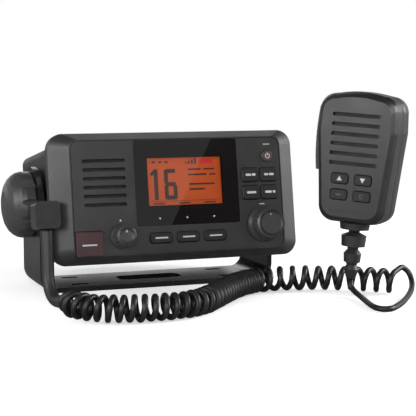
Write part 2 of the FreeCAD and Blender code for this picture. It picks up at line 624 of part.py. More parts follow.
def front_gasket():
    """Rubber seal between the bezel and the chassis flange."""
    width = BEZEL_WIDTH - 2 * FLANGE_INSET
    height = BEZEL_HEIGHT - 2 * FLANGE_INSET
    ring = rounded_block(0, BEZEL_CENTRE_Z, width, height, BEZEL_CORNER - FLANGE_INSET, BEZEL_REAR_Y, FLANGE_Y)
    inside = rounded_block(0, BEZEL_CENTRE_Z, CHASSIS_WIDTH - 2 * CHASSIS_WALL, CHASSIS_HEIGHT - 2 * CHASSIS_WALL,
                           CHASSIS_CORNER - CHASSIS_WALL, BEZEL_REAR_Y - 1, FLANGE_Y + 1)
    ring = ring.cut(inside)
    for x, z in SCREW_PLACES:
        ring = ring.cut(rod_y(x, z, SCREW_RADIUS, BEZEL_REAR_Y - 1, FLANGE_Y + 1))
    return ring


def rear_chassis():
    """Die-cast housing: front flange, finned back, board posts and side bosses for the tilt inserts."""
    width, height = CHASSIS_WIDTH, CHASSIS_HEIGHT
    body = rounded_block(0, BEZEL_CENTRE_Z, width, height, CHASSIS_CORNER, FLANGE_Y, CHASSIS_BACK)
    body = body.fuse(rounded_block(0, BEZEL_CENTRE_Z, BEZEL_WIDTH - 2 * FLANGE_INSET, BEZEL_HEIGHT - 2 * FLANGE_INSET,
                                   BEZEL_CORNER - FLANGE_INSET, FLANGE_Y, CHASSIS_FRONT_Y))
    body = body.cut(rounded_block(0, BEZEL_CENTRE_Z, width - 2 * CHASSIS_WALL, height - 2 * CHASSIS_WALL,
                                  CHASSIS_CORNER - CHASSIS_WALL, FLANGE_Y - 1, CHASSIS_BACK - CHASSIS_WALL))
    inner_side = width / 2 - CHASSIS_WALL
    for side in (-1, 1):
        low, high = sorted((side * (width / 2 - STUD_REACH), side * (inner_side + 0.5)))
        body = body.fuse(rod_x(0, 0, INSERT_RADIUS + 2.5, low, high))
        low, high = sorted((side * (width / 2 - STUD_REACH - 1), side * (width / 2 + 1)))
        body = body.cut(rod_x(0, 0, INSERT_RADIUS, low, high))
    for index in range(FIN_COUNT):
        x = FIN_X + index * FIN_PITCH
        body = body.fuse(block(x, x + FIN_THICK, CHASSIS_BACK - 0.5, CHASSIS_BACK + FIN_DEPTH,
                               BEZEL_CENTRE_Z - height / 2 + 4, BEZEL_CENTRE_Z + height / 2 - 4))
    floor_z = BEZEL_CENTRE_Z - height / 2 + CHASSIS_WALL
    for x, y in board_posts():
        body = body.fuse(Part.makeCylinder(3.2, MAIN_BOARD_Z - floor_z + 0.5, Vector(x, y, floor_z - 0.5)))
        body = body.cut(Part.makeCylinder(SCREW_RADIUS - 0.2, MAIN_BOARD_Z - floor_z, Vector(x, y, floor_z)))
    for x, z in SCREW_PLACES:
        body = body.cut(rod_y(x, z, SCREW_RADIUS, FLANGE_Y - 1, CHASSIS_FRONT_Y + 1))
    body = body.cut(rod_y(ANTENNA_X, ANTENNA_Z, ANTENNA_RADIUS - 1.5, CHASSIS_BACK - CHASSIS_WALL - 1,
                          CHASSIS_BACK + 1))
    return body.cut(rod_y(POWER_X, POWER_Z, POWER_RADIUS - 1.5, CHASSIS_BACK - CHASSIS_WALL - 1, CHASSIS_BACK + 1))


def board_posts():
    y0 = MAIN_BOARD_Y + POST_INSET
    y1 = MAIN_BOARD_Y + MAIN_BOARD_DEPTH - POST_INSET
    x = MAIN_BOARD_WIDTH / 2 - POST_INSET
    return [(sx * x, y) for sx in (-1, 1) for y in (y0, y1)]


def main_circuit_board():
    y0 = MAIN_BOARD_Y
    half = MAIN_BOARD_WIDTH / 2
    board = block(-half, half, y0, y0 + MAIN_BOARD_DEPTH, MAIN_BOARD_Z, MAIN_BOARD_Z + BOARD_THICK)
    for x, y in board_posts():
        board = board.cut(Part.makeCylinder(SCREW_RADIUS, BOARD_THICK + 2, Vector(x, y, MAIN_BOARD_Z - 1)))
    return board


def board_screws():
    top = MAIN_BOARD_Z + BOARD_THICK
    screws = []
    for x, y in board_posts():
        head = Part.makeCylinder(SCREW_HEAD, 1.8, Vector(x, y, top))
        shank = Part.makeCylinder(SCREW_RADIUS - 0.2, BOARD_THICK + 3, Vector(x, y, top - BOARD_THICK - 3))
        screws.append(head.fuse(shank))
    return Part.makeCompound(screws)


def amplifier_shield():
    """Folded can over the transmitter stage, open to the board."""
    x0 = -SHIELD_WIDTH / 2
    y0 = MAIN_BOARD_Y + MAIN_BOARD_DEPTH - SHIELD_DEPTH - 12
    z0 = MAIN_BOARD_Z + BOARD_THICK
    can = block(x0, x0 + SHIELD_WIDTH, y0, y0 + SHIELD_DEPTH, z0, z0 + SHIELD_HEIGHT)
    w = SHIELD_WALL
    return can.cut(block(x0 + w, x0 + SHIELD_WIDTH - w, y0 + w, y0 + SHIELD_DEPTH - w, z0 - 1, z0 + SHIELD_HEIGHT - w))


def case_screws():
    screws = []
    for x, z in SCREW_PLACES:
        head = rod_y(x, z, SCREW_HEAD, CHASSIS_FRONT_Y, CHASSIS_FRONT_Y + 2)
        shank = rod_y(x, z, SCREW_RADIUS, CHASSIS_FRONT_Y - SCREW_LENGTH, CHASSIS_FRONT_Y)
        screws.append(head.fuse(shank))
    return Part.makeCompound(screws)


def antenna_connector():
    """Coaxial socket on a square flange, with its insulator recess and centre contact."""
    y0, r = CHASSIS_BACK, ANTENNA_RADIUS
    seat, end = y0 + ANTENNA_FLANGE_THICK, y0 + ANTENNA_FLANGE_THICK + ANTENNA_LENGTH
    body = rounded_block(ANTENNA_X, ANTENNA_Z, ANTENNA_FLANGE, ANTENNA_FLANGE, 0.08 * ANTENNA_FLANGE, y0, seat)
    body = body.fuse(rod_y(ANTENNA_X, ANTENNA_Z, r, seat - 0.5, end))
    body = body.cut(rod_y(ANTENNA_X, ANTENNA_Z, 0.8 * r, seat + 0.2 * ANTENNA_LENGTH, end + 1))
    body = body.fuse(rod_y(ANTENNA_X, ANTENNA_Z, 0.38 * r, seat + 0.18 * ANTENNA_LENGTH, end - 1))
    return body.cut(rod_y(ANTENNA_X, ANTENNA_Z, 0.24 * r, seat + 0.36 * ANTENNA_LENGTH, end + 1))


def power_gland():
    """Ribbed rubber gland for the supply lead."""
    r, h = POWER_RADIUS, POWER_LENGTH
    profile = [(POWER_BORE, 0), (r * 1.28, 0), (r * 1.28, h * 0.14), (r, h * 0.21), (r, h * 0.36)]
    profile += [(r * 0.86, h * 0.4), (r * 0.86, h * 0.5), (r * 0.94, h * 0.54), (r * 0.94, h * 0.64)]
    profile += [(r * 0.77, h * 0.69), (r * 0.77, h * 0.79), (r * 0.83, h * 0.83), (r * 0.71, h), (POWER_BORE, h)]
    return turned(profile, Vector(POWER_X, CHASSIS_BACK, POWER_Z), Vector(0, 1, 0))


def cord_gland():
    """Moulded block on the bezel's left side that turns the cord downward."""
    y0 = RIM_Y - GLAND_DEPTH * 0.62
    body = rounded_block(GLAND_X, GLAND_Z, GLAND_WIDTH, GLAND_HEIGHT, GLAND_CORNER, y0, y0 + GLAND_DEPTH)
    body = body.fuse(rod_y(GLAND_X - 0.5, GLAND_Z, GLAND_WIDTH * 0.36, y0 - 0.8, y0 + 0.2))
    return body.cut(bezel_outline())


def bezel_outline():
    """Outer skin of the bezel, used to shape what is seated on it."""
    rim = [rounded_wire(0, BEZEL_CENTRE_Z, HALF_WIDTH, HALF_HEIGHT, BEZEL_CORNER, y) for y in (BEZEL_REAR_Y, RIM_Y)]
    face = rounded_wire(0, BEZEL_CENTRE_Z, FACE_HALF_WIDTH, FACE_HALF_HEIGHT, FACE_CORNER, FACE_Y)
    return Part.makeLoft(rim + [face], True, True)


def mic_outline(inset, y):
    """Front outline of the microphone: a tapered body with round corners and an arched top."""
    low, high = MIC_BOTTOM_HALF - inset, MIC_TOP_HALF - inset
    bottom, top = inset, MIC_HEIGHT - inset
    r = max(MIC_CORNER - inset * 0.6, 2.0)
    k = r * (1 - math.sqrt(0.5))
    arch = 1.8
    waist = top - r - 14
    points = [
        (low - r, bottom), (low, bottom + r), (high, waist), (high - 0.6, top - r - arch), (high - r - 0.6, top - arch),
        (0, top),
    ]
    def edge(a, b):
        return Part.LineSegment(Vector(a[0], y, a[1]), Vector(b[0], y, b[1])).toShape()
    def arc(a, m, b):
        return Part.Arc(Vector(a[0], y, a[1]), Vector(m[0], y, m[1]), Vector(b[0], y, b[1])).toShape()
    mirror = [(-x, z) for x, z in points]
    edges = [
        edge(mirror[0], points[0]),
        arc(points[0], (low - k, bottom + k), points[1]),
        edge(points[1], points[2]),
        edge(points[2], points[3]),
        arc(points[3], (high - 0.6 - k, top - arch - k), points[4]),
        arc(points[4], points[5], mirror[4]),
        arc(mirror[4], (-(high - 0.6 - k), top - arch - k), mirror[3]),
        edge(mirror[3], mirror[2]),
        edge(mirror[2], mirror[1]),
        arc(mirror[1], (-(low - k), bottom + k), mirror[0]),
    ]
    return Part.Wire(edges)


def mic_half(front):
    """One moulded half of the microphone, hollow, with a bevelled outer edge."""
    sign = -1 if front else 1
    depth = MIC_FRONT_DEPTH if front else MIC_REAR_DEPTH
    seam = sign * MIC_SEAM / 2
    sections = [
        mic_outline(0.3, seam), mic_outline(0.0, sign * 3), mic_outline(0.4, sign * (depth - MIC_BEVEL)),
        mic_outline(MIC_BEVEL * 0.42, sign * (depth - MIC_BEVEL * 0.3)), mic_outline(MIC_BEVEL, sign * depth),
    ]
    shell = Part.makeLoft(sections, True, True)
    w = MIC_WALL
    inner = [mic_outline(w + 0.3, seam - sign * 1), mic_outline(w + 0.3, sign * (depth - MIC_BEVEL)),
             mic_outline(MIC_BEVEL + w * 0.6, sign * (depth - w))]
    return shell.cut(Part.makeLoft(inner, True, True))


def mic_keys():
    return [(sx * MIC_KEY_X, z) for z in MIC_KEY_Z for sx in (-1, 1)]


def mic_front_shell():
    shell = mic_half(True)
    y = -MIC_FRONT_DEPTH
    for index in range(MIC_SLOT_COUNT):
        z = MIC_SLOT_TOP - index * MIC_SLOT_PITCH
        shell = shell.cut(rounded_block(0, z, MIC_SLOT_LENGTH, MIC_SLOT_HEIGHT, MIC_SLOT_HEIGHT / 2 - 0.05,
                                        y - 1, y + MIC_WALL + 1))
    for x, z in mic_keys():
        shell = shell.cut(rounded_block(x, z, MIC_KEY_WIDTH + 2 * KEY_GAP, MIC_KEY_HEIGHT + 2 * KEY_GAP, 2.3,
                                        y - 1, y + MIC_WALL + 1))
    chin = block(-13, 13, y - 1, y + 0.6, 7.0, 8.2)
    return shell.cut(chin).cut(ptt_space()).cut(boot_space())


def ptt_space():
    """Side opening for the talk bar."""
    x0 = -MIC_TOP_HALF - 1
    return block(x0, x0 + 5.5, -PTT_DEPTH / 2 - KEY_GAP, PTT_DEPTH / 2 + KEY_GAP,
                 PTT_Z - PTT_HEIGHT / 2 - KEY_GAP, PTT_Z + PTT_HEIGHT / 2 + KEY_GAP)


def ptt_button():
    """Talk bar on the left side: a lens-shaped press bar with a guide lip behind."""
    outer = -mic_half_width(PTT_Z) - PTT_PROUD
    z0, z1 = PTT_Z - PTT_HEIGHT / 2, PTT_Z + PTT_HEIGHT / 2
    half = PTT_DEPTH / 2
    inner = -MIC_TOP_HALF + MIC_WALL + 0.8
    a, b, c = Vector(outer + 1.4, 0, z0), Vector(outer, 0, PTT_Z), Vector(outer + 1.4, 0, z1)
    d, e = Vector(inner, 0, z1), Vector(inner, 0, z0)
    wire = Part.Wire([Part.Arc(a, b, c).toShape(), Part.LineSegment(c, d).toShape(),
                      Part.LineSegment(d, e).toShape(), Part.LineSegment(e, a).toShape()])
    bar = Part.Face(wire).extrude(Vector(0, 2 * half, 0))
    bar.translate(Vector(0, -half, 0))
    return bar


def mic_half_width(z):
    waist = MIC_HEIGHT - MIC_CORNER - 14
    share = min(max((z - MIC_CORNER) / (waist - MIC_CORNER), 0), 1)
    return MIC_BOTTOM_HALF + (MIC_TOP_HALF - MIC_BOTTOM_HALF) * share


def boot_space():
    return Part.makeCylinder(BOOT_NECK + 0.05, MIC_WALL * 3, Vector(0, 0, -1))


def mic_rear_shell():
    shell = mic_half(False).cut(ptt_space()).cut(boot_space())
    y = MIC_REAR_DEPTH
    shell = shell.cut(rod_y(0, HANG_STUD_Z, STUD_NECK_RADIUS - 1.5, y - MIC_WALL - 1, y + 1))
    for x, z in mic_screw_places():
        shell = shell.cut(rod_y(x, z, SCREW_HEAD + 0.1, y - MIC_SCREW_SINK, y + 1))
        shell = shell.cut(rod_y(x, z, SCREW_RADIUS, y - MIC_WALL - 1, y + 1))
    return shell


def mic_screw_places():
    x = MIC_TOP_HALF - MIC_SCREW_INSET_X
    return [(sx * x, z) for sx in (-1, 1) for z in (MIC_SCREW_INSET_Z, MIC_HEIGHT - MIC_SCREW_INSET_Z)]


def mic_screws():
    y = MIC_REAR_DEPTH
    screws = []
    for x, z in mic_screw_places():
        seat = y - MIC_SCREW_SINK
        head = rod_y(x, z, SCREW_HEAD, seat, seat + 0.9 * MIC_SCREW_SINK)
        screws.append(head.fuse(rod_y(x, z, SCREW_RADIUS, seat - MIC_SCREW_REACH, seat)))
    return Part.makeCompound(screws)


def mic_hang_stud():
    """Round-headed stud that drops into a slotted hanger."""
    r, n = STUD_HEAD_RADIUS, STUD_NECK_RADIUS
    profile = [(0, -3.5), (n - 1.5, -3.5), (n - 1.5, 0), (n, 0), (n, 4), (r, 4.6), (r, 6.2), (r - 1.2, 7), (0, 7.2)]
    return turned(profile, Vector(0, MIC_REAR_DEPTH, HANG_STUD_Z), Vector(0, 1, 0))


def mic_circuit_board():
    half = MIC_TOP_HALF - MIC_BOARD_INSET
    return block(-half, half, MIC_BOARD_Y, MIC_BOARD_Y + BOARD_THICK, MIC_BOARD_INSET, MIC_HEIGHT - MIC_BOARD_INSET)


def mic_capsule():
    r, t = CAPSULE_RADIUS, CAPSULE_THICK
    profile = [(0, 0), (r, 0), (r, t * 0.85), (r * 0.88, t), (0, t)]
    return turned(profile, Vector(0, MIC_BOARD_Y, MIC_SLOT_TOP - 2 * MIC_SLOT_PITCH), Vector(0, -1, 0))


def mic_key(x, z):
    y = -MIC_FRONT_DEPTH
    width, height = MIC_KEY_WIDTH / 2, MIC_KEY_HEIGHT / 2
    sections = [
        rounded_wire(x, z, width, height, 2.0, y + MIC_WALL + 0.5), rounded_wire(x, z, width, height, 2.0, y - 0.3),
        rounded_wire(x, z, width - 0.6, height - 0.6, 1.5, y - 0.9),
    ]
    return Part.makeLoft(sections, True, True)


def mic_boot():
    """Ribbed strain relief: three collars on a neck, then a plain tapered sleeve."""
    profile = [(0, 3.5), (BOOT_NECK, 3.5), (BOOT_NECK, -BOOT_COLLARS[0][0])]
    for top, radius, height in BOOT_COLLARS:
        profile += [(radius, -top), (radius - 0.5, -top - height), (BOOT_NECK + 0.6, -top - height - 0.6),
                    (BOOT_NECK, -top - height - 2)]
    profile += [(4.8, -31), (3.0, -BOOT_LENGTH), (0, -BOOT_LENGTH)]
    return turned(profile, Vector(0, 0, 0), Vector(0, 0, 1))


def tube_path(points):
    """Straight runs with an arc at each point, as large as the shorter run allows; prints the radii."""
    points = [Vector(*p) for p in points]
    edges, radii, last = [], [], points[0]
    for before, corner, after in zip(points, points[1:], points[2:]):
        d1, d2 = (corner - before), (after - corner)
        shorter = min(d1.Length, d2.Length)
        d1, d2 = d1.normalize(), d2.normalize()
        cut = 0.45 * shorter
        half_turn = d1.getAngle(d2) / 2
        radii.append(cut / math.tan(half_turn))
        start, end = corner - d1 * cut, corner + d2 * cut
        bisector = (d2 - d1).normalize()
        middle = corner + bisector * (radii[-1] / math.cos(half_turn) - radii[-1])
        edges.append(Part.LineSegment(last, start).toShape())
        edges.append(Part.Arc(start, middle, end).toShape())
        last = end
    edges.append(Part.LineSegment(last, points[-1]).toShape())
    print("radii " + " ".join("%.1f" % r for r in radii))
    return Part.Wire(edges)


def section_wire(centre, direction, radius, sides):
    """Regular polygon round centre, square to direction."""
    side = direction.cross(Vector(0, 0, 1))
    if side.Length < 0.1:
        side = direction.cross(Vector(0, 1, 0))
    side.normalize()
    up = side.cross(direction).normalize()
    ring = []
    for index in range(sides):
        angle = 2 * math.pi * (index + 0.5) / sides
        ring.append(centre + side * (radius * math.cos(angle)) + up * (radius * math.sin(angle)))
    return Part.makePolygon(ring + [ring[0]])


def swept(path, radius, sides):
    """Faceted tube along a path; prints its volume beside section times length."""
    first = path.Edges[0]
    start = first.valueAt(first.FirstParameter)
    direction = first.tangentAt(first.FirstParameter)
    shell = Part.BRepOffsetAPI.MakePipeShell(path)
    shell.add(section_wire(start, direction, radius, sides))
    shell.build()
    shell.makeSolid()
    tube = shell.shape()
    area = 0.5 * sides * radius ** 2 * math.sin(2 * math.pi / sides)
    print("tube volume %.0f, section x length %.0f" % (tube.Volume, area * path.Length))
    return tube


def route_curve(points):
    """Quadratic spline drawn by its control points, clamped at both ends."""
    count = len(points)
    spans = count - 2
    curve = Part.BSplineCurve()
    multiplicities = [3] + [1] * (spans - 1) + [3]
    knots = [float(i) for i in range(spans + 1)]
    curve.buildFromPolesMultsKnots([Vector(*p) for p in points], multiplicities, knots, False, 2)
    return curve


def coil_pitch(share):
    """Spacing of the curls along the cord: open at the left, closed in the middle, stretched at the right."""
    if share < PITCH_TURN_1:
        return PITCH_LEFT
    if share < PITCH_TURN_2:
        return PITCH_MIDDLE
    return PITCH_RIGHT


def coil_samples(steps_per_turn):
    """Points of the wire's middle line and their directions, at even steps of turn back from the end."""
    curve = route_curve(COIL_ROUTE)
    total = curve.length()
    positions, angle, distance = [], 0.0, total
    step = 0.05
    target = 0.0
    while distance > COIL_LEAD_IN:
        if angle <= target:
            positions.insert(0, (distance, angle))
            target -= 2 * math.pi / steps_per_turn
        angle -= 2 * math.pi * step / coil_pitch(distance / total)
        distance -= step
    points = [wire_point(curve, total, d, a) for d, a in positions]
    eps = 0.02
    tangents = []
    for d, a in positions:
        rate = 2 * math.pi / coil_pitch(d / total)
        low, high = max(d - eps, 0.0), min(d + eps, total)
        p0 = wire_point(curve, total, low, a - rate * (d - low))
        p1 = wire_point(curve, total, high, a + rate * (high - d))
        tangents.append((p1 - p0).normalize())
    return points, tangents, len(positions) / steps_per_turn


def wire_point(curve, total, distance, angle):
    u = curve.parameterAtDistance(min(max(distance, 0.0), total))
    centre = curve.value(u)
    ahead = Vector(*curve.tangent(u)[0])
    ahead.normalize()
    side = Vector(0, 0, 1).cross(ahead).normalize()
    up = ahead.cross(side).normalize()
    grow = min(max((distance - COIL_LEAD_IN) / COIL_RAMP, 0.0), 1.0)
    radius = COIL_RADIUS * grow * grow * (3 - 2 * grow)
    return centre + up * (radius * math.cos(angle)) + side * (radius * math.sin(angle))


def arc_edge(start, tangent, end):
    """Arc from start to end that leaves along tangent."""
    chord = end - start
    along = chord.normalize() if chord.Length else tangent
    length = (end - start).Length
    across = tangent - along * tangent.dot(along)
    if across.Length < 1e-5:
        return Part.LineSegment(start, end).toShape()
    half = tangent.getAngle(along)
    middle = (start + end) * 0.5 + across.normalize() * (length / 2 * math.tan(half / 2))
    return Part.Arc(start, middle, end).toShape()


def biarc(p0, t0, p1, t1):
    """Two arcs that join two points and keep their directions."""
    v = p1 - p0
    t = t0 + t1
    a = 2 * (1 - t0.dot(t1))
    b = v.dot(t)
    c = v.dot(v)
    if a < 1e-6:
        d = c / (2 * b)
    else:
        d = (-b + math.sqrt(b * b + a * c)) / a
    joint = (p0 + p1 + (t0 - t1) * d) * 0.5
    q0, q1 = p0 + t0 * d, p1 - t1 * d
    direction = (q1 - q0).normalize()
    return arc_edge(p0, t0, joint), arc_edge(joint, direction, p1)


def curly_cord():
    """Coiled cord with real curls along its route, straight for one diameter at each end."""
    points, tangents, turns = coil_samples(4)
    length = 2 * WIRE_RADIUS
    first = Vector(*COIL_ROUTE[0])
    away = (Vector(*COIL_ROUTE[1]) - first).normalize()
    edges = [Part.LineSegment(first, first + away * length).toShape()]
    edges += biarc(first + away * length, away, points[0], tangents[0])
    for p0, t0, p1, t1 in zip(points, tangents, points[1:], tangents[1:]):
        edges += biarc(p0, t0, p1, t1)
    edges.append(Part.LineSegment(points[-1], points[-1] + tangents[-1] * length).toShape())
    path = Part.Wire(edges)
    print("coil turns %.1f, wire length %.0f mm" % (turns, path.Length))
    print("least gap of the coil to itself %.2f mm" % coil_gap())
    return swept(path, WIRE_RADIUS, COIL_SIDES)


def coil_end():
    """Free end of the coil and the way it points."""
    points, tangents, _ = coil_samples(4)
    return points[-1] + tangents[-1] * (2 * WIRE_RADIUS), tangents[-1]


def gland_exit():
    """Where the lead leaves the gland, and the way it points."""
    turn = FreeCAD.Rotation(Vector(1, 0, 0), -REST_TILT)
    centre = Vector(GLAND_X, RIM_Y + GLAND_DEPTH * (0.5 - 0.62), GLAND_Z - GLAND_HEIGHT / 2)
    down = turn.multVec(Vector(0, 0, -1))
    return turn.multVec(centre) + AXIS_POINT + down * LIFT_GAP, down


def boot_tip():
    """Where the cord enters the microphone's boot, and the way it points."""
    down = mic_rotation().multVec(Vector(0, 0, -1))
    return Vector(*MIC_PLACE) + down * (BOOT_LENGTH + LIFT_GAP), down


def cord_lead():
    """Thick sleeve from the gland, down beside the arm and forward along the floor to the coil."""
    start, down = gland_exit()
    route = [start, start + down * LEAD_FIRST_RUN] + [Vector(*p) for p in LEAD_ROUTE]
    return swept(tube_path(route), LEAD_RADIUS, 8)


def mic_cord_loop():
    """Straight end of the cord, looping over the floor and up into the boot."""
    start, ahead = coil_end()
    tip, down = boot_tip()
    route = [start, start + ahead * LOOP_END_RUN] + [Vector(*p) for p in LOOP_ROUTE]
    route += [tip + down * LOOP_END_RUN, tip]
    return swept(tube_path(route), WIRE_RADIUS, COIL_SIDES)


def coil_gap():
    """Least free space between neighbouring curls, measured on points of the middle line."""
    per_turn = 16
    points, _, _ = coil_samples(per_turn)
    least = 1e9
    for i, p in enumerate(points):
        for q in points[i + per_turn // 2:i + 2 * per_turn]:
            least = min(least, (p - q).Length)
    return least - 2 * WIRE_RADIUS


def build():
    save("gimbal_bracket", gimbal_bracket())
    for side, word in ((-1, "left"), (1, "right")):
        save(word + "_tilt_washer", in_radio(tilt_washer(side)))
        save(word + "_tilt_insert", in_radio(tilt_insert(side)))
        save(word + "_tilt_knob", in_radio(tilt_knob(side)))
        save(word + "_tilt_stud", in_radio(tilt_stud(side)))
    radio = {
        "front_bezel": front_bezel(), "display_window": display_window(), "lcd_panel": lcd_panel(),
        "grille_mesh": grille_mesh(), "front_speaker": front_speaker(),
        "front_circuit_board": front_circuit_board(), "keypad_mat": keypad_mat(), "soft_key_mat": soft_key_mat(),
        "distress_cover": distress_cover(), "distress_hinge_pin": distress_hinge_pin(),
        "distress_button": distress_button(), "front_gasket": front_gasket(), "rear_chassis": rear_chassis(),
        "main_circuit_board": main_circuit_board(), "board_screws": board_screws(),
        "amplifier_shield": amplifier_shield(), "case_screws": case_screws(),
        "antenna_connector": antenna_connector(), "power_gland": power_gland(), "cord_gland": cord_gland(),
    }
    for word, x, z, skirt, cap, flutes in (
            ("volume", VOLUME_X, VOLUME_Z, VOLUME_SKIRT, VOLUME_CAP, 14),
            ("channel", CHANNEL_X, CHANNEL_Z, CHANNEL_SKIRT, CHANNEL_CAP, 18)):
        radio[word + "_encoder"] = encoder(x, z)
        radio[word + "_plunger"] = push_plunger(x, z)
        radio[word + "_shaft"] = control_shaft(x, z)
        radio[word + "_knob"] = control_knob(x, z, skirt, cap, flutes)
    names = ("upper_left_key", "upper_right_key", "lower_left_key", "lower_right_key", "round_key",
             "left_soft_key", "centre_soft_key", "right_soft_key")
    for name, size in zip(names, all_face_keys()):
        radio[name] = face_key(*size)
    for name, shape in radio.items():
        save(name, in_radio(shape))
    mic = {
        "mic_front_shell": mic_front_shell(), "mic_rear_shell": mic_rear_shell(), "ptt_button": ptt_button(),
        "mic_hang_stud": mic_hang_stud(), "mic_screws": mic_screws(), "mic_circuit_board": mic_circuit_board(),
        "mic_capsule": mic_capsule(), "mic_boot": mic_boot(),
    }
    names = ("mic_up_left_key", "mic_up_right_key", "mic_low_left_key", "mic_low_right_key")
    for name, place in zip(names, mic_keys()):
        mic[name] = mic_key(*place)
    for name, shape in mic.items():
        save(name, in_mic(shape))
    save("cord_lead", cord_lead())
    save("curly_cord", curly_cord())
    save("mic_cord_loop", mic_cord_loop())


build()
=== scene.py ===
import logging
import math
from collections.abc import Sequence
from dataclasses import dataclass
from enum import Enum
from functools import cache

import bmesh
import bpy
from mathutils import Matrix, Vector


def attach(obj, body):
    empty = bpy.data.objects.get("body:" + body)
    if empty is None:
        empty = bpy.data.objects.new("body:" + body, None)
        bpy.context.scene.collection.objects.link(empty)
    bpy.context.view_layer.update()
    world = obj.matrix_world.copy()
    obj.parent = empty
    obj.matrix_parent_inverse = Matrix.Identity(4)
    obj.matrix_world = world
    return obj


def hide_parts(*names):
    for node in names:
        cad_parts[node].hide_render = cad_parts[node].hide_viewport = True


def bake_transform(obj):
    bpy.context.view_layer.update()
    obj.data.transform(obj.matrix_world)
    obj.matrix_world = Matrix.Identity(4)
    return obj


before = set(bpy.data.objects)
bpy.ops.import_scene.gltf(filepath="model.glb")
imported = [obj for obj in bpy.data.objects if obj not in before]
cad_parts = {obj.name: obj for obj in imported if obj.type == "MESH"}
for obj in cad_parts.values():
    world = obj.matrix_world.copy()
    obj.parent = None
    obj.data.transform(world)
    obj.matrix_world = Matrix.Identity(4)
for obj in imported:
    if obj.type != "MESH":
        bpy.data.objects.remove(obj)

log = logging.getLogger("marine_radio")

Point = tuple[float, float, float]
Flat = tuple[float, float]
Colour = tuple[float, float, float]
Mark = tuple[float, float, float, float, float]

# The radio's own frame starts at its gimbal axis and leans back; the microphone stands turned beside it.
AXIS_HEIGHT = 0.058
LEAN = math.radians(9.5)
RADIO_PLACE = Matrix.Translation((0.0, 0.0, AXIS_HEIGHT)) @ Matrix.Rotation(-LEAN, 4, "X")
MIC_PLACE = (
    Matrix.Translation((0.1086, -0.1059, 0.0493))
    @ Matrix.Rotation(math.radians(-49.0), 4, "Z")
    @ Matrix.Rotation(math.radians(-2.0), 4, "X")
    @ Matrix.Rotation(math.radians(3.5), 4, "Y")
)
# Planes that carry print, in the radio's frame, and how far print stands out and is sunk, in millimetres.
FACE_Y = -68.5
KEY_TOP_Y = -69.8
LCD_TOP_Y = -65.1
PRINT_THICK = 0.06
PRINT_SUNK = 0.02
# Distance in metres under which two corners are one, and the UV length of a metre of cord.
MERGE_REACH = 1e-7
UV_PER_METRE = 100
# Scales of the mottling, smudges and grain that moulded finishes share, and the grain's depth in metres.
MOTTLE_SCALE = 70.0
MOTTLE_SHARE = 0.7
SMUDGE_SCALE = 24.0
GRAIN_SCALE = 1000.0
GRAIN_DEPTH = 0.00012
COAT_ROUGHNESS = 0.12
# Wave texture scale whose bands lie 1 mm apart.
BANDS_1_MM = 314.0


# Finishes


class Nodes:
    """Small helper that adds and links shader nodes in one material."""

    def __init__(self, title: str) -> None:
        """Starts an empty material.

        Args:
            title: Name of the material.
        """
        self.material = bpy.data.materials.new(title)
        self.material.use_nodes = True
        self.tree = self.material.node_tree
        self.tree.nodes.clear()
        self.output = self.tree.nodes.new("ShaderNodeOutputMaterial")

    def add(self, kind: str, settings: dict[str, object] | None = None, **inputs: object) -> bpy.types.Node:
        """Adds a node, sets its options and fills or links its inputs.

        Args:
            kind: Blender's node type.
            settings: Options set on the node itself.
            inputs: Values or output sockets by input name, with underscores for spaces, or by i and its index.

        Returns:
            The new node.
        """
        node = self.tree.nodes.new(kind)
        for key, value in (settings or {}).items():
            setattr(node, key, value)
        for key, value in inputs.items():
            by_index = key[0] == "i" and key[1:].isdigit()
            socket = node.inputs[int(key[1:]) if by_index else key.replace("_", " ")]
            if isinstance(value, bpy.types.NodeSocket):
                self.tree.links.new(value, socket)
            else:
                socket.default_value = value
        return node

    def place(self, rotation: Point = (0, 0, 0), location: Point = (0, 0, 0),
              scale: Point = (1, 1, 1)) -> bpy.types.NodeSocket:
        """Object coordinates, turned, moved and scaled.

        Args:
            rotation: Turn in radians.
            location: Shift in metres.
            scale: Stretch along each axis.

        Returns:
            The vector socket.
        """
        coords = self.add("ShaderNodeTexCoord")
        mapping = self.add("ShaderNodeMapping", Vector=coords.outputs["Object"], Rotation=rotation,
                           Location=location, Scale=scale)
        return mapping.outputs["Vector"]

    def noise(self, vector: bpy.types.NodeSocket, scale: float, detail: float = 3.0) -> bpy.types.NodeSocket:
        """Noise value at a given scale."""
        node = self.add("ShaderNodeTexNoise", Vector=vector, Scale=scale, Detail=detail)
        return node.outputs["Fac"]

    def math(self, how: str, a: object, b: object = 0.0) -> bpy.types.NodeSocket:
        """One step of arithmetic on numbers or sockets."""
        return self.add("ShaderNodeMath", {"operation": how}, i0=a, i1=b).outputs[0]

    def remap(self, value: bpy.types.NodeSocket, low: float, high: float, start: float = 0.3,
              end: float = 0.7) -> bpy.types.NodeSocket:
        """Spreads a value from start..end to low..high."""
        node = self.add("ShaderNodeMapRange", Value=value, From_Min=start, From_Max=end, To_Min=low, To_Max=high)
        return node.outputs["Result"]

    def blend(self, share: object, a: object, b: object) -> bpy.types.NodeSocket:
        """Mixes two colours by a share."""
        node = self.add("ShaderNodeMix", {"data_type": "RGBA"}, i0=share, i6=a, i7=b)
        return node.outputs[2]

    def bump(self, height: bpy.types.NodeSocket, strength: float, distance: float) -> bpy.types.NodeSocket:
        """Surface normal from a height."""
        return self.add("ShaderNodeBump", Strength=strength, Distance=distance, Height=height).outputs["Normal"]

    def finish(self, shader: bpy.types.NodeSocket) -> bpy.types.Material:
        """Joins the shader to the output and returns the material."""
        self.tree.links.new(shader, self.output.inputs["Surface"])
        return self.material


def rgba(colour: Colour) -> tuple[float, float, float, float]:
    """Colour with full opacity."""
    return (*colour, 1.0)


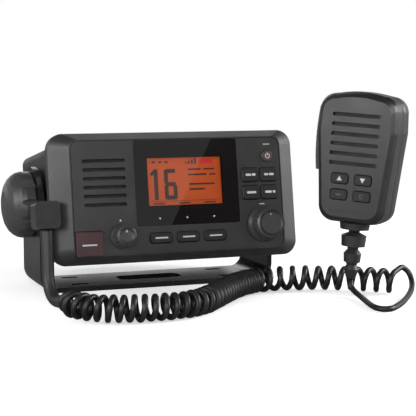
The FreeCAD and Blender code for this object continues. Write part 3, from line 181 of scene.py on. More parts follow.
@dataclass(frozen=True)
class Moulded:
    """Moulded plastic, rubber, paint or metal with a fine grain, faint mottling and uneven gloss."""

    title: str
    light: Colour
    dark: Colour
    roughness: float
    grain: float = 0.35
    relief: float = 0.25
    spread: float = 0.07
    metallic: float = 0.0
    coat: float = 0.0
    sheen: float = 0.0
    specular: float = 0.5
    stretch: Point = (1.0, 1.0, 1.0)

    def build(self) -> bpy.types.Material:
        """Makes the material.

        Returns:
            The finished material.
        """
        n = Nodes(self.title)
        where = n.place(scale=self.stretch)
        broad = n.noise(where, MOTTLE_SCALE, 4.0)
        fine = n.noise(where, GRAIN_SCALE / self.grain, 2.0)
        smudge = n.noise(where, SMUDGE_SCALE, 5.0)
        tone = n.math("ADD", n.math("MULTIPLY", broad, MOTTLE_SHARE), n.math("MULTIPLY", fine, 1 - MOTTLE_SHARE))
        base = n.blend(n.remap(tone, 0.0, 1.0), rgba(self.dark), rgba(self.light))
        gloss = n.remap(smudge, self.roughness - self.spread, self.roughness + self.spread)
        shader = n.add("ShaderNodeBsdfPrincipled", Base_Color=base, Roughness=gloss,
                       Normal=n.bump(fine, self.relief, GRAIN_DEPTH), Metallic=self.metallic,
                       Coat_Weight=self.coat, Coat_Roughness=COAT_ROUGHNESS, Sheen_Weight=self.sheen,
                       Specular_IOR_Level=self.specular)
        return n.finish(shader.outputs[0])


@dataclass(frozen=True)
class Woven:
    """Fine dark woven cloth whose threads cross at right angles; the gaps between the threads are painted near-black
    as painted shade.
    """

    title: str
    colour: Colour
    gap_shade: Colour = (0.003, 0.003, 0.003)
    pitch: float = 0.9
    relief: float = 0.0003

    def build(self) -> bpy.types.Material:
        """Makes the material.

        Returns:
            The finished material.
        """
        n = Nodes(self.title)
        where = n.place()
        waves = []
        for axis in ("X", "Z"):
            wave = n.add("ShaderNodeTexWave", {"bands_direction": axis}, Vector=where,
                         Scale=BANDS_1_MM / self.pitch)
            waves.append(wave.outputs["Fac"])
        threads = n.math("MAXIMUM", waves[0], waves[1])
        dirt = n.noise(where, 120.0)
        # The gaps between the threads take the near-black gap colour: painted shade of the openings.
        base = n.blend(threads, rgba(self.gap_shade), rgba(self.colour))
        gloss = n.remap(dirt, 0.6, 0.85)
        shader = n.add("ShaderNodeBsdfPrincipled", Base_Color=base, Roughness=gloss,
                       Normal=n.bump(threads, 0.6, self.relief))
        return n.finish(shader.outputs[0])


@dataclass(frozen=True)
class Circuit:
    """Solder mask over copper tracks."""

    title: str
    mask: Colour
    track: Colour
    worn_mask: Colour = (0.02, 0.12, 0.05)
    cells: float = 420.0
    track_edges: Flat = (0.02, 0.09)
    relief: float = 0.0002

    def build(self) -> bpy.types.Material:
        """Makes the material.

        Returns:
            The finished material.
        """
        n = Nodes(self.title)
        where = n.place(rotation=(math.pi / 2, 0, 0))
        cells = n.add("ShaderNodeTexVoronoi", {"feature": "DISTANCE_TO_EDGE"}, Vector=where, Scale=self.cells)
        lines = n.remap(cells.outputs["Distance"], 1.0, 0.0, *self.track_edges)
        tint = n.noise(where, 90.0)
        board = n.blend(n.remap(tint, 0.0, 0.5), rgba(self.mask), rgba(self.worn_mask))
        base = n.blend(lines, board, rgba(self.track))
        shader = n.add("ShaderNodeBsdfPrincipled", Base_Color=base, Roughness=n.remap(tint, 0.25, 0.42),
                       Normal=n.bump(lines, 0.3, self.relief))
        return n.finish(shader.outputs[0])


@dataclass(frozen=True)
class Pane:
    """Glossy window, printed black at the back except over the display."""

    title: str
    centre: Flat
    half: Flat
    ink: Colour = (0.007, 0.006, 0.006)
    pale_ink: Colour = (0.010, 0.009, 0.009)
    ink_specular: float = 0.3
    clear: Colour = (0.93, 0.93, 0.93)
    ior: float = 1.49

    def build(self) -> bpy.types.Material:
        """Makes the material.

        Returns:
            The finished material.
        """
        n = Nodes(self.title)
        back = Matrix.Rotation(LEAN, 3, "X") @ Vector((0.0, 0.0, AXIS_HEIGHT))
        where = n.place(rotation=(LEAN, 0, 0), location=tuple(-back))
        axes = n.add("ShaderNodeSeparateXYZ", Vector=where)
        inside = None
        for socket, middle, reach in ((axes.outputs["X"], self.centre[0], self.half[0]),
                                      (axes.outputs["Z"], self.centre[1], self.half[1])):
            off = n.math("ABSOLUTE", n.math("SUBTRACT", socket, middle / 1000))
            near = n.math("LESS_THAN", off, reach / 1000)
            inside = near if inside is None else n.math("MULTIPLY", inside, near)
        haze = n.noise(where, 30.0, 4.0)
        gloss = n.remap(haze, 0.0, 0.02)
        black = n.add("ShaderNodeBsdfPrincipled", Roughness=gloss, Specular_IOR_Level=self.ink_specular,
                      Base_Color=n.blend(haze, rgba(self.ink), rgba(self.pale_ink)))
        clear = n.add("ShaderNodeBsdfTransparent", Color=rgba(self.clear))
        shine = n.add("ShaderNodeBsdfGlossy", Roughness=gloss)
        fresnel = n.add("ShaderNodeFresnel", IOR=self.ior)
        inner = n.add("ShaderNodeNewGeometry").outputs["Backfacing"]
        mirror = n.math("MULTIPLY", fresnel.outputs[0], n.math("SUBTRACT", 1.0, inner))
        glass = n.add("ShaderNodeMixShader", i0=mirror, i1=clear.outputs[0], i2=shine.outputs[0])
        both = n.add("ShaderNodeMixShader", i0=inside, i1=black.outputs[0], i2=glass.outputs[0])
        return n.finish(both.outputs[0])


@dataclass(frozen=True)
class Backlit:
    """Lit dot-matrix display with an uneven glow."""

    title: str
    glow: Colour
    strength: float = 0.75
    dots: float = 560.0
    dim_share: float = 0.45

    def build(self) -> bpy.types.Material:
        """Makes the material.

        Returns:
            The finished material.
        """
        n = Nodes(self.title)
        where = n.place()
        rows = []
        for axis in ("X", "Z"):
            wave = n.add("ShaderNodeTexWave", {"bands_direction": axis}, Vector=where, Scale=self.dots)
            rows.append(n.remap(wave.outputs["Fac"], 0.82, 1.0, 0.0, 0.35))
        grid = n.math("MULTIPLY", rows[0], rows[1])
        uneven = n.remap(n.noise(where, 22.0, 1.0), 0.82, 1.08)
        power = n.math("MULTIPLY", grid, uneven)
        dim = tuple(self.dim_share * c for c in self.glow)
        tint = n.blend(power, rgba(dim), rgba(self.glow))
        shader = n.add("ShaderNodeBsdfPrincipled", Base_Color=tint, Roughness=0.35, Emission_Color=tint,
                       Emission_Strength=self.strength)
        return n.finish(shader.outputs[0])


class Surface(Enum):
    """Every finish on the radio, its microphone and its bracket."""

    BEZEL = Moulded("bezel_plastic", (0.025, 0.025, 0.026), (0.015, 0.015, 0.016), 0.40, 0.3, 0.22)
    BRACKET = Moulded("filled_nylon", (0.015, 0.015, 0.016), (0.008, 0.008, 0.009), 0.24, 0.5, 0.10, 0.04)
    KNOB = Moulded("knob_plastic", (0.044, 0.044, 0.045), (0.028, 0.028, 0.029), 0.36, 0.3, 0.2)
    MICROPHONE = Moulded("microphone_plastic", (0.015, 0.015, 0.016), (0.008, 0.008, 0.009), 0.34, 0.32, 0.3)
    KEY = Moulded("keypad_silicone", (0.014, 0.014, 0.014), (0.009, 0.009, 0.009), 0.6, 0.25, 0.15,
                 specular=0.36)
    RUBBER = Moulded("black_rubber", (0.014, 0.014, 0.015), (0.008, 0.008, 0.009), 0.5, 0.4, 0.3, sheen=0.03)
    CORD = Moulded("cord_jacket", (0.010, 0.010, 0.011), (0.005, 0.005, 0.006), 0.42, 0.5, 0.2,
                  specular=0.42)
    CASTING = Moulded("powder_coated_casting", (0.022, 0.022, 0.023), (0.012, 0.012, 0.013), 0.5, 0.7, 0.55)
    MAROON = Moulded("maroon_plastic", (0.050, 0.010, 0.014), (0.030, 0.007, 0.009), 0.38, 0.3, 0.12, coat=0.2)
    GREY_RED = Moulded("round_key_rubber", (0.060, 0.030, 0.029), (0.040, 0.022, 0.021), 0.5, 0.25, 0.15)
    STEEL = Moulded("plated_steel", (0.62, 0.62, 0.63), (0.46, 0.46, 0.48), 0.32, 0.5, 0.15, metallic=1.0,
                    stretch=(1.0, 1.0, 9.0))
    BRASS = Moulded("turned_brass", (0.80, 0.60, 0.28), (0.62, 0.44, 0.18), 0.3, 0.4, 0.15, metallic=1.0,
                    stretch=(6.0, 1.0, 1.0))
    MAGNET = Moulded("pressed_speaker_frame", (0.030, 0.030, 0.031), (0.018, 0.018, 0.019), 0.45, 0.4, 0.2,
                     metallic=0.6)
    INK = Moulded("white_print", (0.52, 0.52, 0.51), (0.40, 0.40, 0.40), 0.55, 0.2, 0.1)
    FAINT_INK = Moulded("grey_print", (0.10, 0.10, 0.10), (0.07, 0.07, 0.07), 0.55, 0.2, 0.1)
    DARK_INK = Moulded("display_segments", (0.060, 0.022, 0.011), (0.034, 0.013, 0.007), 0.5, 0.2, 0.1)
    # Near-black finish of the screw slots: painted shade inside the hollow slots of the steel heads.
    SLOT_SHADE = Moulded("screw_slot_shade", (0.020, 0.020, 0.020), (0.008, 0.008, 0.008), 0.5, 0.3, 0.2, metallic=0.5)
    CLOTH = Woven("speaker_cloth", (0.020, 0.020, 0.021))
    BOARD = Circuit("circuit_board", (0.010, 0.075, 0.030), (0.10, 0.20, 0.08))
    WINDOW = Pane("display_window", (4.3, 7.6), (25.8, 15.6))
    DISPLAY = Backlit("display_glow", (0.31, 0.046, 0.006))
    PATCH = Backlit("display_patch", (0.34, 0.012, 0.012))

    @cache
    def material(self) -> bpy.types.Material:
        """The finish's material, made at its first use."""
        return self.value.build()


NODE_FINISHES: dict[Surface, tuple[str, ...]] = {
    Surface.BEZEL: ("front_bezel", "distress_hinge_pin"),
    Surface.BRACKET: ("gimbal_bracket", "cord_gland"),
    Surface.KNOB: ("left_tilt_knob", "right_tilt_knob", "volume_knob", "channel_knob", "volume_plunger",
                   "channel_plunger"),
    Surface.MICROPHONE: ("mic_front_shell", "mic_rear_shell"),
    Surface.KEY: ("keypad_mat", "soft_key_mat", "upper_left_key", "upper_right_key", "lower_left_key",
                  "lower_right_key", "left_soft_key", "centre_soft_key", "right_soft_key", "mic_up_left_key",
                  "mic_up_right_key", "mic_low_left_key", "mic_low_right_key"),
    Surface.RUBBER: ("left_tilt_washer", "right_tilt_washer", "front_gasket", "power_gland", "mic_boot",
                     "ptt_button"),
    Surface.CORD: ("cord_lead", "curly_cord", "mic_cord_loop"),
    Surface.CASTING: ("rear_chassis",),
    Surface.MAROON: ("distress_cover", "distress_button"),
    Surface.GREY_RED: ("round_key",),
    Surface.STEEL: ("left_tilt_stud", "right_tilt_stud", "board_screws", "case_screws",
                    "amplifier_shield", "antenna_connector", "volume_encoder", "channel_encoder",
                    "volume_shaft", "channel_shaft", "mic_screws", "mic_hang_stud"),
    Surface.BRASS: ("left_tilt_insert", "right_tilt_insert"),
    Surface.MAGNET: ("front_speaker", "mic_capsule"),
    Surface.CLOTH: ("grille_mesh",),
    Surface.BOARD: ("front_circuit_board", "main_circuit_board", "mic_circuit_board"),
    Surface.WINDOW: ("display_window",),
    Surface.DISPLAY: ("lcd_panel",),
}


def dress_nodes() -> None:
    """Gives every CAD node its material."""
    for surface, names in NODE_FINISHES.items():
        for name in names:
            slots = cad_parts[name].data.materials
            slots.clear()
            slots.append(surface.material())
        log.info("%s on %d parts", surface.value.title, len(names))


# Meshes


def show(name: str, mesh: bpy.types.Mesh, surface: Surface, body: str | None,
         place: Matrix | None = None) -> bpy.types.Object:
    """Puts a finished mesh in the scene with its place in its vertices.

    Args:
        name: Piece name.
        mesh: The mesh in metres, in the frame that place turns from.
        surface: Its finish.
        body: The CAD body it rides on, or None where it rides on none.
        place: Matrix from the mesh's own frame to the row frame.

    Returns:
        The new object.
    """
    if place is not None:
        mesh.transform(place)
    mesh.materials.clear()
    mesh.materials.append(surface.material())
    piece = bpy.data.objects.new(name, mesh)
    bpy.context.scene.collection.objects.link(piece)
    if body is not None:
        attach(piece, body)
    log.info("%s: %d faces on %s", name, len(mesh.polygons), body)
    return piece


def to_mesh(name: str, bm: bmesh.types.BMesh, smooth: bool = False) -> bpy.types.Mesh:
    """Closes a bmesh with outward faces and returns it as a mesh.

    Args:
        name: Mesh name.
        bm: The bmesh, which is freed.
        smooth: Whether its faces are shaded smooth.

    Returns:
        The mesh.
    """
    bmesh.ops.remove_doubles(bm, verts=bm.verts, dist=MERGE_REACH)
    bmesh.ops.recalc_face_normals(bm, faces=bm.faces)
    for face in bm.faces:
        face.smooth = smooth
    mesh = bpy.data.meshes.new(name)
    bm.to_mesh(mesh)
    bm.free()
    return mesh


def prisms(name: str, outlines: list[list[Flat]], y: float, thick: float = PRINT_THICK) -> bpy.types.Mesh:
    """Thin raised shapes on a plane square to Y, such as print or display segments.

    Args:
        name: Mesh name.
        outlines: Closed outlines of (x, z) points in millimetres.
        y: Where their back lies, in millimetres.
        thick: How far they stand forward.

    Returns:
        The mesh in metres.
    """
    bm = bmesh.new()
    for outline in outlines:
        front = [bm.verts.new((x / 1000, (y - thick) / 1000, z / 1000)) for x, z in outline]
        back = [bm.verts.new((x / 1000, (y + PRINT_SUNK) / 1000, z / 1000)) for x, z in outline]
        bm.faces.new(front)
        bm.faces.new(list(reversed(back)))
        for i, j in zip(range(len(front)), [*range(1, len(front)), 0]):
            bm.faces.new((front[i], back[i], back[j], front[j]))
    return to_mesh(name, bm)


def flat_piece(name: str, outlines: list[list[Flat]], y: float, surface: Surface, body: str,
               place: Matrix = RADIO_PLACE, thick: float = PRINT_THICK) -> None:
    """Shows thin raised shapes on a plane square to Y; the arguments are those of prisms and show."""
    show(name, prisms(name, outlines, y, thick), surface, body, place)


def bar(x: float, z: float, width: float, height: float, corner: float = 0.0, turn: float = 0.0) -> list[Flat]:
    """Rectangle with clipped or round corners, turned about its centre.

    Args:
        x: Centre.
        z: Centre.
        width: Full width.
        height: Full height.
        corner: Radius of its corners.
        turn: Turn in degrees.

    Returns:
        Its outline.
    """
    corners = [(1, 1), (-1, 1), (-1, -1), (1, -1)]
    points = []
    for index, (sx, sz) in enumerate(corners):
        cx, cz = sx * (width / 2 - corner), sz * (height / 2 - corner)
        steps = 5 if corner else 1
        for step in range(steps):
            angle = math.radians(90 * index + (90 * step / (steps - 1) if corner else 0))
            points.append((cx + corner * math.cos(angle), cz + corner * math.sin(angle)))
    c, s = math.cos(math.radians(turn)), math.sin(math.radians(turn))
    return [(x + px * c - pz * s, z + px * s + pz * c) for px, pz in points]


def triangle(x: float, z: float, size: float, turn: float) -> list[Flat]:
    """Equal-sided triangle that points along turn degrees."""
    return [(x + size * math.cos(math.radians(turn + a)), z + size * math.sin(math.radians(turn + a)))
            for a in (0, 120, 240)]


def ring_outline(x: float, z: float, outer: float, inner: float, start: float, sweep: float) -> list[Flat]:
    """Part of a flat ring, from start through sweep degrees."""
    steps = 20
    angles = [math.radians(start + sweep * i / steps) for i in range(steps + 1)]
    outside = [(x + outer * math.cos(a), z + outer * math.sin(a)) for a in angles]
    inside = [(x + inner * math.cos(a), z + inner * math.sin(a)) for a in reversed(angles)]
    return outside + inside


def lathe(name: str, profile: list[Flat], steps: int = 48) -> bpy.types.Mesh:
    """Turns a closed (radius, height) profile in millimetres about Z.

    Args:
        name: Mesh name.
        profile: Points of the section, round once.
        steps: Divisions round the axis.

    Returns:
        The mesh in metres.
    """
    bm = bmesh.new()
    rings = []
    for step in range(steps):
        a = 2 * math.pi * step / steps
        x, y = math.cos(a) / 1000, math.sin(a) / 1000
        rings.append([bm.verts.new((r * x, r * y, h / 1000)) for r, h in profile])
    for one, two in zip(rings, rings[1:] + rings[:1]):
        for i in range(len(profile)):
            j = (i + 1) % len(profile)
            bm.faces.new((one[i], two[i], two[j], one[j]))
    return to_mesh(name, bm, smooth=True)


def tube(name: str, path: list[Vector], radius: float, sides: int) -> bpy.types.Mesh:
    """Closed round tube along a path, with its own UV map round and along it.

    Args:
        name: Mesh name.
        path: Points of its middle line, in metres.
        radius: Its radius in metres.
        sides: Faces round it.

    Returns:
        The mesh.
    """
    bm = bmesh.new()
    uv = bm.loops.layers.uv.new("UVMap")
    ahead = [(b - a).normalized() for a, b in zip(path, path[1:])]
    tangents = [ahead[0]] + [(a + b).normalized() for a, b in zip(ahead, ahead[1:])] + [ahead[-1]]
    side = tangents[0].orthogonal().normalized()
    rings, run, runs = [], 0.0, []
    for index, (point, tangent) in enumerate(zip(path, tangents)):
        side = (side - tangent * side.dot(tangent)).normalized()
        up = tangent.cross(side)
        rings.append([bm.verts.new(point + (side * math.cos(a) + up * math.sin(a)) * radius)
                      for a in (2 * math.pi * k / sides for k in range(sides))])
        if index:
            run += (point - path[index - 1]).length
        runs.append(run)
    for i in range(len(rings) - 1):
        for k in range(sides):
            m = (k + 1) % sides
            face = bm.faces.new((rings[i][k], rings[i][m], rings[i + 1][m], rings[i + 1][k]))
            places = ((k, i), (k + 1, i), (k + 1, i + 1), (k, i + 1))
            for loop, (u, v) in zip(face.loops, places):
                loop[uv].uv = (u / sides, runs[v] * UV_PER_METRE)
    bm.faces.new(list(reversed(rings[0])))
    bm.faces.new(rings[-1])
    mesh = bpy.data.meshes.new(name)
    for face in bm.faces:
        face.smooth = True
    bm.to_mesh(mesh)
    bm.free()
    return mesh


def spline_line(name: str, points: list[Vector], resolution: int) -> list[Vector]:
    """Points along a clamped NURBS spline of order 3.

    Args:
        name: Name used while it is read.
        points: Control points in metres.
        resolution: Points per span.

    Returns:
        The points of the line.
    """
    curve = bpy.data.curves.new(name, "CURVE")
    curve.dimensions = "3D"
    spline = curve.splines.new("NURBS")
    spline.points.add(len(points) - 1)
    for knot, point in zip(spline.points, points):
        knot.co = (*point, 1.0)
    spline.order_u = 3
    spline.use_endpoint_u = True
    spline.resolution_u = resolution
    holder = bpy.data.objects.new(name, curve)
    bpy.context.scene.collection.objects.link(holder)
    bpy.context.view_layer.update()
    mesh = bpy.data.meshes.new_from_object(holder.evaluated_get(bpy.context.evaluated_depsgraph_get()))
    line = [v.co.copy() for v in mesh.vertices]
    bpy.data.objects.remove(holder)
    bpy.data.curves.remove(curve)
    bpy.data.meshes.remove(mesh)
    return line


# Repeats grown by geometry nodes


class Grower:
    """A geometry node tree with named inputs, whose result becomes a plain mesh."""

    def __init__(self, title: str, **kinds: str) -> None:
        """Starts the tree with its geometry, material and size sockets.

        Args:
            title: Name of the tree.
            kinds: Kind of each size, such as Float, by its name, with underscores for spaces.
        """
        self.tree = bpy.data.node_groups.new(title, "GeometryNodeTree")
        self.tree.interface.new_socket("Geometry", in_out="INPUT", socket_type="NodeSocketGeometry")
        self.tree.interface.new_socket("Geometry", in_out="OUTPUT", socket_type="NodeSocketGeometry")
        for label, kind in {"Material": "Material", **kinds}.items():
            self.tree.interface.new_socket(label.replace("_", " "), in_out="INPUT",
                                           socket_type="NodeSocket" + kind)
        self.given = self.tree.nodes.new("NodeGroupInput")

    def add(self, kind: str, settings: dict[str, object] | None = None, **inputs: object) -> bpy.types.Node:
        """Adds a node and fills its inputs; a string names one of the tree's own inputs.

        Args:
            kind: Blender's node type.
            settings: Options set on the node itself.
            inputs: Values, sockets or input names, with underscores for spaces.

        Returns:
            The node.
        """
        node = self.tree.nodes.new(kind)
        for key, value in (settings or {}).items():
            setattr(node, key, value)
        for key, value in inputs.items():
            socket = node.inputs[key.replace("_", " ")]
            if isinstance(value, str):
                value = self.given.outputs[value]
            if isinstance(value, bpy.types.NodeSocket):
                self.tree.links.new(value, socket)
            else:
                socket.default_value = value
        return node

    def end(self, geometry: bpy.types.NodeSocket) -> None:
        """Closes the tree with Realize Instances and Set Material."""
        real = self.add("GeometryNodeRealizeInstances", Geometry=geometry)
        painted = self.add("GeometryNodeSetMaterial", Geometry=real.outputs[0], Material="Material")
        output = self.tree.nodes.new("NodeGroupOutput")
        self.tree.links.new(painted.outputs[0], output.inputs[0])

    def repeat(self, points: bpy.types.NodeSocket | str, thing: bpy.types.Node) -> None:
        """Puts a copy of a thing at every point and closes the tree."""
        placed = self.add("GeometryNodeInstanceOnPoints", Points=points, Instance=thing.outputs[0])
        self.end(placed.outputs[0])

    def grow(self, name: str, surface: Surface, sizes: dict[str, object],
             points: Sequence[Point] = ()) -> bpy.types.Mesh:
        """Runs the tree once and returns the result.

        Args:
            name: Mesh name.
            surface: Finish set by the tree.
            sizes: Values by input name.
            points: Places that the tree's own geometry starts from, in metres.

        Returns:
            A plain mesh.
        """
        base = bpy.data.meshes.new(name + "_places")
        base.from_pydata([tuple(p) for p in points], [], [])
        holder = bpy.data.objects.new(name + "_maker", base)
        bpy.context.scene.collection.objects.link(holder)
        modifier = holder.modifiers.new("grow", "NODES")
        modifier.node_group = self.tree
        sockets = {s.name: s.identifier for s in self.tree.interface.items_tree if s.in_out == "INPUT"}
        modifier[sockets["Material"]] = surface.material()
        for label, value in sizes.items():
            modifier[sockets[label]] = value
        bpy.context.view_layer.update()
        mesh = bpy.data.meshes.new_from_object(holder.evaluated_get(bpy.context.evaluated_depsgraph_get()))
        mesh.name = name
        bpy.data.objects.remove(holder)
        bpy.data.meshes.remove(base)
        return mesh


def ring_grower() -> Grower:
    """Slender rods standing in a ring, for finger grips."""
    g = Grower("ring_of_ribs", Count="Int", Ring_Radius="Float", Rib_Radius="Float", Rib_Length="Float")
    ring = g.add("GeometryNodeMeshCircle", Vertices="Count", Radius="Ring Radius")
    rod = g.add("GeometryNodeMeshCylinder", Vertices=8, Radius="Rib Radius", Depth="Rib Length")
    g.repeat(ring.outputs[0], rod)
    return g


def row_grower() -> Grower:
    """Rods in a straight row, for a ribbed press bar."""
    g = Grower("row_of_ribs", Count="Int", Step="Vector", Start="Vector", Rib_Radius="Float", Rib_Length="Float")
    line = g.add("GeometryNodeMeshLine", Count="Count", Start_Location="Start", Offset="Step")
    rod = g.add("GeometryNodeMeshCylinder", Vertices=12, Radius="Rib Radius", Depth="Rib Length")
    g.repeat(line.outputs[0], rod)
    return g


def recess_grower() -> Grower:
    """Crossed slots at given places, for screw heads."""
    g = Grower("cross_recesses", Long_Way="Vector", Short_Way="Vector")
    one = g.add("GeometryNodeMeshCube", Size="Long Way")
    two = g.add("GeometryNodeMeshCube", Size="Short Way")
    cross = g.add("GeometryNodeJoinGeometry")
    for slot in (one, two):
        g.tree.links.new(slot.outputs[0], cross.inputs[0])
    g.repeat("Geometry", cross)
    return g


def thread_grower() -> Grower:
    """A fine thread wound round a socket."""
    g = Grower("socket_thread", Turns="Float", Thread_Radius="Float", Height="Float", Wire="Float")
    coil = g.add("GeometryNodeCurveSpiral", Resolution=40, Rotations="Turns", Start_Radius="Thread Radius",
                 End_Radius="Thread Radius", Height="Height")
    section = g.add("GeometryNodeCurvePrimitiveCircle", Resolution=6, Radius="Wire")
    swept = g.add("GeometryNodeCurveToMesh", Curve=coil.outputs[0], Profile_Curve=section.outputs[0],
                  Fill_Caps=True)
    g.end(swept.outputs[0])
    return g


def show_recesses(grower: Grower, name: str, places: list[Point], slot: Point, body: str, place: Matrix) -> None:
    """Shows the crossed slots of a set of screws as dark bars, painted shade of the hollow slots.

    Args:
        grower: The tree that makes them.
        name: Piece name.
        places: Middle of each screw head, in metres.
        slot: Length, depth and width of a slot, in metres.
        body: The CAD body that the screws ride on.
        place: Matrix to the row frame.
    """
    length, depth, width = slot
    sizes = {"Long Way": (length, depth, width), "Short Way": (width, depth, length)}
    show(name, grower.grow(name, Surface.SLOT_SHADE, sizes, places), Surface.SLOT_SHADE, body, place)


# Sub-assemblies


@dataclass
class CordSet:
    """The microphone's cord: a thick sleeve from the gland, the curls, and the loop up into the boot."""

    sleeve_radius: float = 0.004
    wire_radius: float = 0.0019
    coil_radius: float = 0.0067
    lead_in: float = 0.0035
    ramp: float = 0.008
    least_curl: float = 0.45
    end_run: float = 0.0055
    walk_step: float = 0.00005
    turn_points: int = 16
    wobbles: tuple[Point, ...] = ((0.02, 0.37, 0.0), (0.015, 0.11, 1.0))
    ferrule: tuple[Flat, ...] = (
        (1.9, -3.0), (4.3, -3.0), (4.6, -2.4), (4.6, 0.6), (3.9, 1.2), (3.6, 3.4), (2.6, 5.2), (1.9, 5.6),
    )
    pitches: tuple[tuple[float, float], ...] = ((0.42, 0.0063), (0.66, 0.0050), (1.01, 0.0088))
    sleeve_route: tuple[Point, ...] = (
        (-88.5, -63.769, 48.342), (-88.5, -66.575, 31.575), (-89.0, -68.6, 14.0), (-87.5, -78.0, 4.8),
        (-84.0, -91.0, 6.4), (-86.0, -104.0, 8.2),
    )
    coil_route: tuple[Point, ...] = (
        (-86.0, -104.0, 8.2), (-88.19, -118.2, 10.17), (-76.0, -133.0, 9.0), (-58.0, -140.0, 9.0),
        (-37.0, -142.0, 9.0), (-13.0, -138.0, 9.0), (8.0, -115.0, 9.0), (32.0, -85.0, 9.0), (56.0, -70.0, 9.0),
        (84.0, -73.0, 9.0), (110.0, -84.0, 9.0), (129.0, -100.0, 9.0), (138.0, -108.7, 9.0),
    )
    loop_route: tuple[Point, ...] = (
        (150.2, -104.3, 14.2), (151.0, -107.6, 9.1), (146.6, -116.0, 4.6), (133.0, -134.0, 3.0),
        (119.5, -150.5, 2.6), (110.5, -158.6, 2.2), (105.5, -163.0, 2.2), (99.5, -163.2, 2.2),
        (97.0, -157.4, 2.2), (99.1, -146.0, 2.2), (104.0, -128.1, 2.3), (107.0, -113.0, 3.2),
    )
    boot_tip: Point = (106.125, -105.034, 12.092)
    boot_down: Point = (-0.0663, 0.0232, -0.9975)

    def pitch_at(self, share: float) -> float:
        """Spacing of the curls at a share of the coil's length."""
        return next(pitch for limit, pitch in self.pitches if share < limit)

    def curls(self) -> list[Vector]:
        """Control points of the curls, wound round the route's smooth line.

        Returns:
            Points from the sleeve to the free end, in metres.
        """
        line = spline_line("coil_line", [Vector(p) / 1000 for p in self.coil_route], 64)
        runs = [0.0]
        for a, b in zip(line, line[1:]):
            runs.append(runs[-1] + (b - a).length)
        total = runs[-1]
        angle, target, distance, index = 0.0, 0.0, total, len(line) - 2
        found: list[Vector] = []
        while distance > self.lead_in:
            if angle <= target:
                while index > 0 and runs[index] > distance:
                    index -= 1
                share = (distance - runs[index]) / (runs[index + 1] - runs[index])
                centre = line[index].lerp(line[index + 1], share)
                ahead = (line[index + 1] - line[index]).normalized()
                side = Vector((0, 0, 1)).cross(ahead).normalized()
                grow = min(max((distance - self.lead_in) / self.ramp, 0.0), 1.0)
                uneven = 1 + sum(size * math.sin(angle * rate + phase) for size, rate, phase in self.wobbles)
                radius = self.coil_radius * uneven * grow * grow * (3 - 2 * grow)
                if radius > self.least_curl * self.coil_radius:
                    out = ahead.cross(side) * math.cos(angle) + side * math.sin(angle)
                    found.insert(0, centre + out * radius)
                target -= 2 * math.pi / self.turn_points
            angle -= 2 * math.pi * self.walk_step / self.pitch_at(distance / total)
            distance -= self.walk_step
        return found

    def build(self) -> None:
        """Makes the sleeve, its ferrule and the curly cord."""
        sleeve_line = spline_line("sleeve_line", [Vector(p) / 1000 for p in self.sleeve_route], 16)
        sleeve = show("cord_sleeve", tube("cord_sleeve", sleeve_line, self.sleeve_radius, 28), Surface.RUBBER,
                      None)
        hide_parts("cord_lead")
        start = Vector(self.coil_route[0]) / 1000
        away = (Vector(self.coil_route[1]) / 1000 - start).normalized()
        turn = away.to_track_quat("Z", "Y").to_matrix().to_4x4()
        ferrule = show("cord_ferrule", lathe("cord_ferrule", list(self.ferrule)), Surface.RUBBER, "bracket",
                       Matrix.Translation(start) @ turn)
        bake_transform(sleeve)
        curls = self.curls()
        ahead = (curls[-1] - curls[-2]).normalized()
        tip, down = Vector(self.boot_tip) / 1000, Vector(self.boot_down)
        points = [start, start + away * 2 * self.wire_radius, *curls, curls[-1] + ahead * 2 * self.wire_radius,
                  curls[-1] + ahead * (2 * self.wire_radius + self.end_run)]
        points += [Vector(p) / 1000 for p in self.loop_route] + [tip + down * self.end_run, tip]
        line = spline_line("cord_line", points, 2)
        cord = show("coiled_cord", tube("coiled_cord", line, self.wire_radius, 12), Surface.CORD, None)
        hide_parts("curly_cord", "mic_cord_loop")
        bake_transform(cord)


